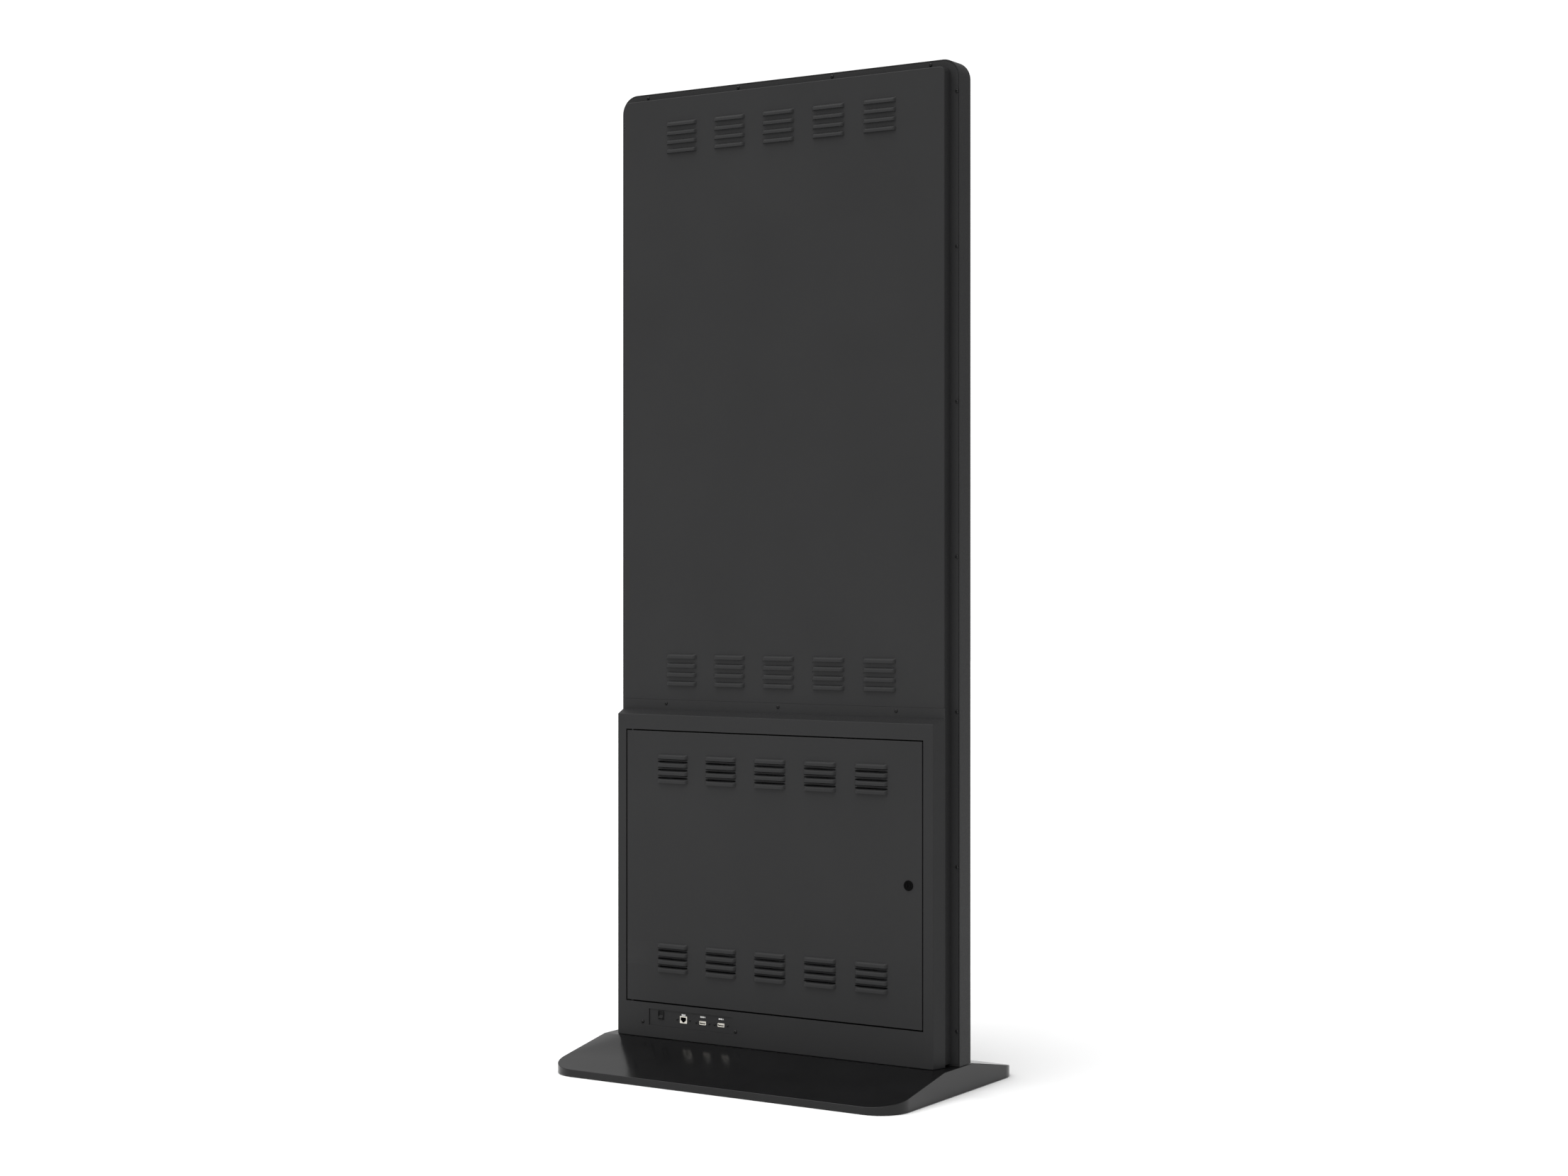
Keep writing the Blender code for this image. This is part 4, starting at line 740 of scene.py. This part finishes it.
# ---- Service cabinet -----------------------------------------------------------------
# Shallow cabinet on the lower half of the rear cover, with flared sides, a jamb folded in
# round the doorway and a window for the sockets. Folded steel sheet, powder-coated.
CABINET_HALF = 0.35375
CABINET_TOP = 0.6795
CABINET_FLARE = 0.0085
CABINET_RETURN = 0.016
CABINET_BEND = 0.0012
DOOR_GAP = 0.0025
JAMB_DEPTH = 0.014
LAP_HEIGHT = 0.0195
LAP_THICKNESS = 0.001
LAP_LIFT = GAP / 3
LAP_SOFTNESS = 0.0003
CORNER_RUN = 0.02
WINDOW_LOW = (0.085, 0.0745)
WINDOW_HIGH = (0.279, 0.1062)

door_low, door_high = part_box("door_panel")
back_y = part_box("cabinet_shell")[1].y
seat_y = cover_y + GAP
cabinet_bottom = frame_low.z
cabinet_middle = (CABINET_TOP + cabinet_bottom) / 2
cabinet = start_piece("cabinet_body", "plane",
                      (2 * CABINET_HALF, CABINET_TOP - cabinet_bottom, 1.0),
                      (0.0, seat_y, cabinet_middle), FACING_BACK, size=1.0)
fold_walls(cabinet, seat_y, back_y - seat_y)
for side in (1, -1):
    pick(cabinet, "verts", lambda point: near(point.y, seat_y) and side * point.x > 0.0)
    bpy.ops.transform.translate(value=(side * CABINET_FLARE, 0.0, 0.0))
pick(cabinet, "verts", lambda point: near(point.y, seat_y) and point.z > CABINET_TOP - GAP)
bpy.ops.transform.translate(value=(0.0, 0.0, CABINET_FLARE))
pick(cabinet, "edges", lambda middle, edge: near(middle.y, seat_y))
bpy.ops.mesh.extrude_edges_move(TRANSFORM_OT_translate={"value": (0.0, 0.0, 0.0)})
chosen = {vertex.index for vertex in bmesh.from_edit_mesh(cabinet.data).verts if vertex.select}
for axis, sign in ((0, 1), (0, -1), (2, 1), (2, -1)):
    bpy.ops.mesh.select_mode(type="VERT")
    bpy.ops.mesh.select_all(action="DESELECT")
    shape = bmesh.from_edit_mesh(cabinet.data)
    for vertex in shape.verts:
        place = vertex.co.x if axis == 0 else vertex.co.z - cabinet_middle
        if vertex.index in chosen and sign * place > 0.0:
            vertex.select_set(True)
    bmesh.update_edit_mesh(cabinet.data)
    shift = Vector((0.0, 0.0, 0.0))
    shift[axis] = -sign * CABINET_RETURN
    bpy.ops.transform.translate(value=shift)
pick(cabinet, "edges", lambda middle, edge: near(middle.y, back_y)
     or (near(edge.verts[0].co.y + edge.verts[1].co.y, back_y + seat_y)
         and length(edge, 1) > CORNER_RUN))
bpy.ops.mesh.bevel(offset=CABINET_BEND, segments=3, affect="EDGES")
door_gap = Vector((DOOR_GAP, 0.0, DOOR_GAP))
doorway_low, doorway_high = door_low - door_gap, door_high + door_gap
doorway_low.y = doorway_high.y = back_y
open_window(cabinet, doorway_low, doorway_high, 0, 2)
pick(cabinet, "edges", lambda middle, edge: edge.is_boundary and near(middle.y, back_y))
bpy.ops.mesh.extrude_edges_move(TRANSFORM_OT_translate={"value": (0.0, -JAMB_DEPTH, 0.0)})
open_window(cabinet, Vector((WINDOW_LOW[0], back_y, WINDOW_LOW[1])),
            Vector((WINDOW_HIGH[0], back_y, WINDOW_HIGH[1])), 0, 2)
close_edit(cabinet, BACKWARDS)
thicken(cabinet, SHEET)
lap_half = CABINET_HALF + CABINET_FLARE
lap_foot = CABINET_TOP + CABINET_FLARE - 2 * SHEET
lap_top = CABINET_TOP + CABINET_FLARE + LAP_HEIGHT
lap = start_piece("cabinet_lap", "cube", (2 * lap_half, LAP_THICKNESS, lap_top - lap_foot),
                  (0.0, seat_y + LAP_THICKNESS / 2 + LAP_LIFT, (lap_top + lap_foot) / 2),
                  size=1.0)
close_edit(lap)
soften(lap, LAP_SOFTNESS, 2)
join(cabinet, lap)
smooth(cabinet)
fit(cabinet, charcoal, "powder_coat", "stand", "cabinet_shell")


# ---- Service door --------------------------------------------------------------------
# Flush door with folded edges that turns on two hidden pins. Steel sheet, with two rows of
# the same louvres as the cover at a closer pitch, and powder-coated with it.
DOOR_RETURN = 0.012
DOOR_BEND = 0.0009
DOOR_PITCH = 0.0157
DOOR_UPPER_DROP = 0.044
DOOR_LOWER_RISE = 0.1165

door_width, door_height = door_high.x - door_low.x, door_high.z - door_low.z
door_middle = ((door_low.x + door_high.x) / 2, back_y - DOOR_RETURN,
               (door_low.z + door_high.z) / 2)
door = start_piece("door_pan", "plane", (door_width, door_height, 1.0), door_middle,
                   FACING_BACK, size=1.0)
fold_walls(door, back_y - DOOR_RETURN, DOOR_RETURN)
pick(door, "edges", lambda middle, edge: near(middle.y, back_y)
     or length(edge, 1) > LONG_EDGE)
bpy.ops.mesh.bevel(offset=DOOR_BEND, segments=3, affect="EDGES")
bpy.ops.mesh.select_all(action="SELECT")
bpy.ops.mesh.normals_make_consistent(inside=False)
press_louvres(door, back_y, door_high.z - DOOR_UPPER_DROP, DOOR_PITCH)
press_louvres(door, back_y, door_low.z + DOOR_LOWER_RISE, DOOR_PITCH)
close_edit(door, BACKWARDS)
thicken(door, SHEET)
smooth(door)
fit(door, charcoal, "powder_coat", "door", "door_panel")
coat_node(black_zinc, "zinc_steel", "hinge_pin_upper", "hinge_pin_lower")
coat_node(black_plastic, "black_plastic", "hinge_washer")


# ---- Lock ----------------------------------------------------------------------------
# Cam lock through the free side of the door: a black barrel with a rounded flange and a
# turning plug with a keyway in front, and a plated nut and cam behind.
LOCK_SIDES = 48
LOCK_FLANGE = 0.0020
LOCK_STEP = 0.0015
FLANGE_ROUNDING = ((0.0, -0.0009), (0.0005, -0.0002), (0.0011, 0.0))
BORE_CHAMFER = ((0.0008, 0.0), (0.0, -0.0005))
PLUG_SOFTNESS = 0.0003
PLUG_REAR = 0.002
NECK_RADIUS = 0.003
KEYWAY = Vector((0.0013, 0.009, 0.0068))


def lathe(name, centre, profile, sides, bored=False):
    """Turn a piece round an axis along Y, from (radius, distance behind its centre) pairs."""
    radius, place = profile[0]
    piece = start_piece(name, "circle", (1.0, 1.0, 1.0), (centre.x, centre.y + place, centre.z),
                        FACING_BACK, radius=radius, vertices=sides,
                        fill_type="NOTHING" if bored else "NGON")
    bpy.ops.mesh.select_all(action="SELECT")
    for next_radius, next_place in profile[1:]:
        step = {"value": (0.0, next_place - place, 0.0)}
        if bored:
            bpy.ops.mesh.extrude_edges_move(TRANSFORM_OT_translate=step)
        else:
            bpy.ops.mesh.extrude_region_move(TRANSFORM_OT_translate=step)
        ratio = next_radius / radius
        bpy.ops.transform.resize(value=(ratio, 1.0, ratio), center_override=centre)
        radius, place = next_radius, next_place
    if bored:
        pick(piece, "edges", lambda middle, edge: edge.is_boundary)
        bpy.ops.mesh.bridge_edge_loops()
    close_edit(piece)
    return piece


def cut_with(piece, tool):
    """Take the shape of a tool out of a piece; the tool goes."""
    work(piece, "BOOLEAN", operation="DIFFERENCE", object=tool, solver="EXACT")
    bpy.data.objects.remove(tool, do_unlink=True)


def cut_out(piece, low, high):
    """Take a box out of a piece."""
    cut_with(piece, start_piece("cutter", "cube", high - low, (low + high) / 2, size=1.0))


lock_black = grained_finish(
    "black_lock_plating", (0.0015, 0.0015, 0.0015), 0.45, specular=0.04,
    tones=((150.0, 2.0), (0.0012, 0.0012, 0.0012), (0.0020, 0.0020, 0.0020)),
    gloss=((400.0, 4.0), 0.38, 0.55), grain=((900.0, 2.0), 0.00003, 0.2))
barrel_low, barrel_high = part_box("lock_body")
plug_low, plug_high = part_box("lock_plug")
lock_centre = (barrel_low + barrel_high) / 2
flange_radius = (barrel_high.x - barrel_low.x) / 2
plug_radius = (plug_high.x - plug_low.x) / 2
lock_centre.y = barrel_high.y
barrel_back, bore = barrel_low.y - barrel_high.y, plug_radius + GAP
barrel_radius = flange_radius - LOCK_STEP
barrel_profile = [(bore, barrel_back), (barrel_radius, barrel_back),
                  (barrel_radius, -LOCK_FLANGE), (flange_radius, -LOCK_FLANGE)]
barrel_profile += [(flange_radius - inwards, depth) for inwards, depth in FLANGE_ROUNDING]
barrel_profile += [(bore + outwards, depth) for outwards, depth in BORE_CHAMFER]
barrel = lathe("lock_barrel", lock_centre, barrel_profile, LOCK_SIDES, True)
smooth(barrel)
fit(barrel, lock_black, "lock_black", "door", "lock_body")

shoulder = barrel_back - 2 * GAP
plug_back = plug_low.y - lock_centre.y
neck_end = plug_back + PLUG_REAR
plug_front = plug_high.y - lock_centre.y
plug_profile = ((plug_radius, plug_back), (plug_radius, neck_end), (NECK_RADIUS, neck_end),
                (NECK_RADIUS, shoulder), (plug_radius, shoulder),
                (plug_radius, plug_front - PLUG_SOFTNESS),
                (plug_radius - PLUG_SOFTNESS, plug_front))
lock_plug = lathe("key_plug", lock_centre, plug_profile, LOCK_SIDES)
keyway_middle = lock_centre + Vector((0.0, plug_front, 0.0))
cut_out(lock_plug, keyway_middle - KEYWAY / 2, keyway_middle + KEYWAY / 2)
smooth(lock_plug)
fit(lock_plug, lock_black, "lock_black", "lock", "lock_plug")
coat_node(black_zinc, "zinc_steel", "lock_nut", "lock_cam")


# ---- Connection plate ----------------------------------------------------------------
# Small coated steel plate behind the window in the cabinet, cut out for the sockets and
# the switch, with one plain white mark printed over each socket.
MARK_THICKNESS = 0.00006
MARK_HEIGHT = 0.0030
MARK_BAR = 0.0017
MARK_PITCH = 0.0023
MARK_RISE = 0.0008
LAST_BAR = 4
LAST_BAR_GAP = 0.0006
LAST_BAR_SHARE = 0.6
BAR_ROUND = 0.0004


def print_mark(name, middle, bars):
    """A row of small printed bars; the last one stands apart where there are five."""
    row = []
    for number in range(bars):
        apart = number == LAST_BAR
        x = middle.x - (number - (bars - 1) / 2) * MARK_PITCH - (LAST_BAR_GAP if apart else 0.0)
        width = MARK_BAR * (LAST_BAR_SHARE if apart else 1.0)
        bar = start_piece("bar", "cube", (width, MARK_THICKNESS, MARK_HEIGHT),
                          (x, plate_front + MARK_THICKNESS / 2, middle.z), size=1.0)
        pick(bar, "edges", lambda point, edge: length(edge, 1) > MARK_THICKNESS / 3)
        bpy.ops.mesh.bevel(offset=BAR_ROUND, segments=3, affect="EDGES")
        close_edit(bar)
        row.append(bar)
    mark = join(*row)
    mark.name = mark.data.name = name
    smooth(mark)
    fit(mark, white_print, None, "stand")


white_print = grained_finish(
    "white_screen_print", (0.80, 0.80, 0.79), 0.6,
    tones=((900.0, 2.0), (0.74, 0.74, 0.73), (0.84, 0.84, 0.83)),
    grain=((2500.0, 1.0), 0.00001, 0.3))
plate_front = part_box("connection_plate")[1].y
coat_node(charcoal, "powder_coat", "connection_plate")


# ---- Sockets -------------------------------------------------------------------------
# One network and two USB panel sockets, each a moulded body with two ears behind the plate
# for its screws, and a mouth whose inner faces are black as painted shade. Pale moulding, with
# sprung contacts inside.
SOCKET_ROUND = 0.0011
SOCKET_EDGE = 0.00025
SOCKET_DEPTH = 0.016
MOUTH_DEPTH = 0.012
EAR_THICKNESS = 0.0015
SOCKET_SCREW_REACH = 0.0148
NETWORK_SIZE = (0.0165, 0.0138)
NETWORK_MOUTH = ((0.0063, -0.0016, 0.0049), (0.0044, -0.0034, 0.0), (0.0023, -0.0050, 0.0))
NETWORK_CONTACTS = 8
NETWORK_CONTACT = (0.00045, 0.009, 0.0003)
NETWORK_CONTACT_PITCH = 0.00102
NETWORK_CONTACT_PLACE = Vector((0.0, -0.0058, 0.0028))
NETWORK_CONTACT_TILT = math.radians(20.0)
NETWORK_MARK_Z = 0.0069
USB_SIZE = (0.0152, 0.0072)
USB_MOUTH = ((0.0064, -0.0018, 0.0024),)
USB_TONGUE = Vector((0.0116, 0.0105, 0.0020))
USB_TONGUE_SINK = 0.0006
USB_TONGUE_Z = 0.0011
USB_CONTACTS = 4
USB_CONTACT = (0.0011, 0.008, 0.0003)
USB_CONTACT_PITCH = 0.0024
USB_MARK_Z = 0.0100
TONGUE_SOFTNESS = 0.0002
CONTACT_SOFTNESS = 0.00008
# How far the black faces inside a mouth reach: painted shade in the deep opening.
MOUTH_SHADE_BACK = 0.0002
MOUTH_SHADE_FRONT = 0.0003
MOUTH_SHADE_REACH = 0.0001


def plain_box(name, extent, middle, edge, turn=(0.0, 0.0, 0.0)):
    """A box with its edges taken off."""
    piece = start_piece(name, "cube", extent, middle, turn, size=1.0)
    close_edit(piece)
    soften(piece, edge, 2)
    return piece


def socket(name, node, size, mouths):
    """Body with round corners, its ears, and a stepped mouth whose inner faces are black as
    painted shade.
    """
    low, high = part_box(node)
    middle, mouth = (low + high) / 2, high.y
    width, height = size
    body = start_piece(name, "cube", (width, SOCKET_DEPTH, height),
                       (middle.x, mouth - SOCKET_DEPTH / 2, middle.z), size=1.0)
    pick(body, "edges", lambda point, edge: length(edge, 1) > LONG_EDGE)
    bpy.ops.mesh.bevel(offset=SOCKET_ROUND, segments=4, affect="EDGES")
    close_edit(body)
    soften(body, SOCKET_EDGE, 2)
    ears_y = plate_front - SHEET - GAP - EAR_THICKNESS / 2
    ears = plain_box("ears", (high.x - low.x, EAR_THICKNESS, 2 * height / 3),
                     (middle.x, ears_y, middle.z), SOCKET_EDGE)
    work(body, "BOOLEAN", operation="UNION", object=ears, solver="EXACT")
    bpy.data.objects.remove(ears, do_unlink=True)
    for half, bottom, top in mouths:
        cut_out(body, Vector((middle.x - half, mouth - MOUTH_DEPTH, middle.z + bottom)),
                Vector((middle.x + half, mouth + SOCKET_EDGE, middle.z + top)))
    smooth(body)
    fit(body, socket_pale, "socket_shell", "stand", node)
    body.data.materials.append(black_plastic)
    body.data.materials.append(contact_gold)
    # The faces inside the mouth get the black plastic as painted shade in the deep opening.
    bpy.ops.object.mode_set(mode="EDIT")
    mouth_shade_span = mouth - MOUTH_DEPTH - MOUTH_SHADE_BACK, mouth - MOUTH_SHADE_FRONT
    half, bottom, top = mouths[0][0], mouths[-1][1], mouths[0][2]
    pick(body, "faces", lambda point, normal: mouth_shade_span[0] < point.y < mouth_shade_span[1]
         and abs(point.x - middle.x) < half + MOUTH_SHADE_REACH
         and bottom - MOUTH_SHADE_REACH < point.z - middle.z < top + MOUTH_SHADE_REACH)
    body.active_material_index = 1
    bpy.ops.object.material_slot_assign()
    bpy.ops.object.mode_set(mode="OBJECT")
    return body, Vector((middle.x, mouth, middle.z))


def add_contacts(body, count, pitch, place, extent, turn):
    """Set a row of sprung contacts in a mouth and join them to the body."""
    first = plain_box("contact", extent, place - Vector(((count - 1) / 2 * pitch, 0.0, 0.0)),
                      CONTACT_SOFTNESS, (turn, 0.0, 0.0))
    smooth(first)
    first.data.materials.append(contact_gold)
    row = [first] + [copy_piece(first, "contact", Vector((step * pitch, 0.0, 0.0)))
                     for step in range(1, count)]
    join(body, *row)


socket_pale = grained_finish(
    "socket_shell", (0.78, 0.75, 0.67), 0.4,
    tones=((90.0, 2.0), (0.74, 0.71, 0.63), (0.82, 0.79, 0.72)),
    gloss=((300.0, 3.0), 0.32, 0.48), grain=((2200.0, 1.0), 0.00002, 0.3))
contact_gold = grained_finish("gold_contacts", (0.85, 0.60, 0.22), 0.25, metallic=1.0,
                              gloss=((800.0, 3.0), 0.18, 0.35))
network_body, network_mouth = socket("network_jack_body", "network_socket", NETWORK_SIZE,
                                     NETWORK_MOUTH)
add_contacts(network_body, NETWORK_CONTACTS, NETWORK_CONTACT_PITCH,
             network_mouth + NETWORK_CONTACT_PLACE, NETWORK_CONTACT, NETWORK_CONTACT_TILT)
mark_z = NETWORK_MARK_Z + MARK_RISE + MARK_HEIGHT / 2
print_mark("network_mark", network_mouth + Vector((0.0, 0.0, mark_z)), 4)
socket_middles = [network_mouth]
for number in (1, 2):
    usb_body, usb_mouth = socket("usb_body_%d" % number, "usb_socket_%d" % number, USB_SIZE,
                                 USB_MOUTH)
    tongue_middle = usb_mouth + Vector((0.0, -USB_TONGUE_SINK - USB_TONGUE.y / 2, USB_TONGUE_Z))
    tongue = plain_box("tongue", USB_TONGUE, tongue_middle, TONGUE_SOFTNESS)
    smooth(tongue)
    tongue.data.materials.append(socket_pale)
    join(usb_body, tongue)
    add_contacts(usb_body, USB_CONTACTS, USB_CONTACT_PITCH,
                 tongue_middle - Vector((0.0, 0.0, USB_TONGUE.z / 2)), USB_CONTACT, 0.0)
    print_mark("usb_mark_%d" % number,
               usb_mouth + Vector((0.0, 0.0, USB_MARK_Z + MARK_HEIGHT / 2)), 5)
    socket_middles.append(usb_mouth)


# ---- Rocker switch -------------------------------------------------------------------
# Small mains rocker that snaps into the plate: a moulded cup with a raised rim, and a
# dished rocker on its cross axle. Both are satin black nylon.
SWITCH_SOFTNESS = 0.0003

for name, node, body in (("switch_cup", "switch_housing", "stand"),
                         ("switch_paddle", "switch_rocker", "rocker")):
    fit(refine(name, node, SWITCH_SOFTNESS), black_plastic, "black_plastic", body, node)


# ---- Screws --------------------------------------------------------------------------
# Button-head screws with a six-sided socket, blackened steel. Eighteen hold the rear cover
# to the frame, three the lap, two the plate, and six smaller ones the sockets.
SCREW_PROFILE = ((0.0016, -0.0060), (0.0016, 0.0), (0.0034, 0.0), (0.0034, 0.0005),
                 (0.0032, 0.0010), (0.0027, 0.0015), (0.0021, 0.0018), (0.0016, 0.0019))
SCREW_HEAD = 0.0019
HEXAGON_PROFILE = ((0.0014, 0.0008), (0.0014, 0.0025))
RIM_SCREWS = 18
SCREW_SIDES = 20
SOCKET_SCREW_SCALE = 0.68
LAP_SCREW_SPACING = 0.259
LAP_SCREW_Z = 0.7003
PLATE_SCREWS = ((0.0777, 0.0795), (0.2941, 0.0795))


black_steel = grained_finish(
    "blackened_steel", (0.004, 0.004, 0.0043), 0.38, specular=0.3,
    tones=((250.0, 2.0), (0.003, 0.003, 0.0032), (0.0055, 0.0055, 0.0058)),
    gloss=((500.0, 3.0), 0.22, 0.4))
origin = Vector((0.0, 0.0, 0.0))
screw = lathe("screw", origin, SCREW_PROFILE, SCREW_SIDES)
cut_with(screw, lathe("hexagon", origin, HEXAGON_PROFILE, 6))
smooth(screw)
places = []
for number in range(1, RIM_SCREWS + 1):
    node = "rim_screw_%02d" % number
    low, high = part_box(node)
    seat = Vector(((low.x + high.x) / 2, high.y - SCREW_HEAD, (low.z + high.z) / 2))
    places.append(("cover_screw_%02d" % number, seat, 1.0, (node,)))
for number in range(3):
    seat = Vector(((number - 1) * LAP_SCREW_SPACING, seat_y + LAP_THICKNESS + LAP_LIFT,
                   LAP_SCREW_Z))
    places.append(("lap_screw_%d" % (number + 1), seat, 1.0, ()))
for number, (x, z) in enumerate(PLATE_SCREWS, start=1):
    places.append(("plate_screw_%d" % number, Vector((x, back_y, z)), 1.0, ()))
for number in range(2 * len(socket_middles)):
    reach = Vector((SOCKET_SCREW_REACH * (1 if number % 2 else -1), 0.0, 0.0))
    seat = socket_middles[number // 2] + reach
    seat.y = plate_front
    places.append(("socket_screw_%d" % (number + 1), seat, SOCKET_SCREW_SCALE, ()))
for name, seat, scale, nodes in places:
    fastener = copy_piece(screw, name, origin)
    fastener.data.transform(Matrix.Translation(seat) @ Matrix.Scale(scale, 4))
    fit(fastener, black_steel, "black_screw", "stand", *nodes)
bpy.data.objects.remove(screw, do_unlink=True)


# ---- Studio --------------------------------------------------------------------------
# Plain white floor and backdrop under a soft dome, brighter behind the kiosk than before
# it, with one wide light overhead. The camera stands level, behind and to one side.
FLOOR_SIZE = 40.0
BRIGHT_SIDE = (0.40, 0.80, 0.45)
DIMMEST, BRIGHTEST, BACKDROP = 0.24, 0.98, 1.1
WHITE = (1.0, 1.0, 1.0, 1.0)
OVERHEAD_STRENGTH = 2.1
OVERHEAD_SPREAD = math.radians(60.0)
OVERHEAD_AIM = Vector((-0.15, -0.30, -1.0))
SENSOR_WIDTH = 36.0
LENS = 59.886
LENS_RISE = -0.01117
CAMERA_PLACE = (-2.665, 4.203, 0.960)
CAMERA_TURN = (math.radians(90.0), 0.0, math.radians(212.355))
CAMERA_REACH = 100.0


floor = start_piece("studio_floor", "plane", (FLOOR_SIZE, FLOOR_SIZE, 1.0), origin, size=1.0)
close_edit(floor)
floor.data.materials.append(grained_finish(
    "studio_floor", (0.95, 0.95, 0.95), 0.9, specular=0.0,
    tones=((2.0, 2.0), (0.94, 0.94, 0.94), (0.96, 0.96, 0.96))))

world = bpy.data.worlds.new("studio_dome")
bpy.context.scene.world = world
world.use_nodes = True
sky = world.node_tree
dome = sky.nodes["Background"]
dome.inputs["Color"].default_value = WHITE
direction = sky.nodes.new("ShaderNodeTexCoord")
side = sky.nodes.new("ShaderNodeVectorMath")
side.operation = "DOT_PRODUCT"
side.inputs[1].default_value = BRIGHT_SIDE
fall_off = sky.nodes.new("ShaderNodeMapRange")
fall_off.inputs["From Min"].default_value = -1.0
fall_off.inputs["To Min"].default_value = DIMMEST
fall_off.inputs["To Max"].default_value = BRIGHTEST
sky.links.new(direction.outputs["Generated"], side.inputs[0])
sky.links.new(side.outputs["Value"], fall_off.inputs["Value"])
sky.links.new(fall_off.outputs["Result"], dome.inputs["Strength"])
white_backdrop = sky.nodes.new("ShaderNodeBackground")
white_backdrop.inputs["Color"].default_value = WHITE
white_backdrop.inputs["Strength"].default_value = BACKDROP
ray = sky.nodes.new("ShaderNodeLightPath")
seen = sky.nodes.new("ShaderNodeMixShader")
sky.links.new(ray.outputs["Is Camera Ray"], seen.inputs["Fac"])
sky.links.new(dome.outputs["Background"], seen.inputs[1])
sky.links.new(white_backdrop.outputs["Background"], seen.inputs[2])
sky.links.new(seen.outputs["Shader"], sky.nodes["World Output"].inputs["Surface"])

light = bpy.data.lights.new("overhead_light", "SUN")
light.energy = OVERHEAD_STRENGTH
light.angle = OVERHEAD_SPREAD
lamp = bpy.data.objects.new("overhead_light", light)
lamp.rotation_euler = OVERHEAD_AIM.to_track_quat("-Z", "Y").to_euler()
bpy.context.scene.collection.objects.link(lamp)

camera_data = bpy.data.cameras.new("studio_camera")
camera_data.sensor_fit = "HORIZONTAL"
camera_data.sensor_width = SENSOR_WIDTH
camera_data.lens = LENS
camera_data.shift_y = LENS_RISE
camera_data.clip_end = CAMERA_REACH
camera = bpy.data.objects.new("studio_camera", camera_data)
camera.location = CAMERA_PLACE
camera.rotation_euler = CAMERA_TURN
bpy.context.scene.collection.objects.link(camera)
bpy.context.scene.camera = camera
bpy.context.scene.view_settings.view_transform = "Standard"
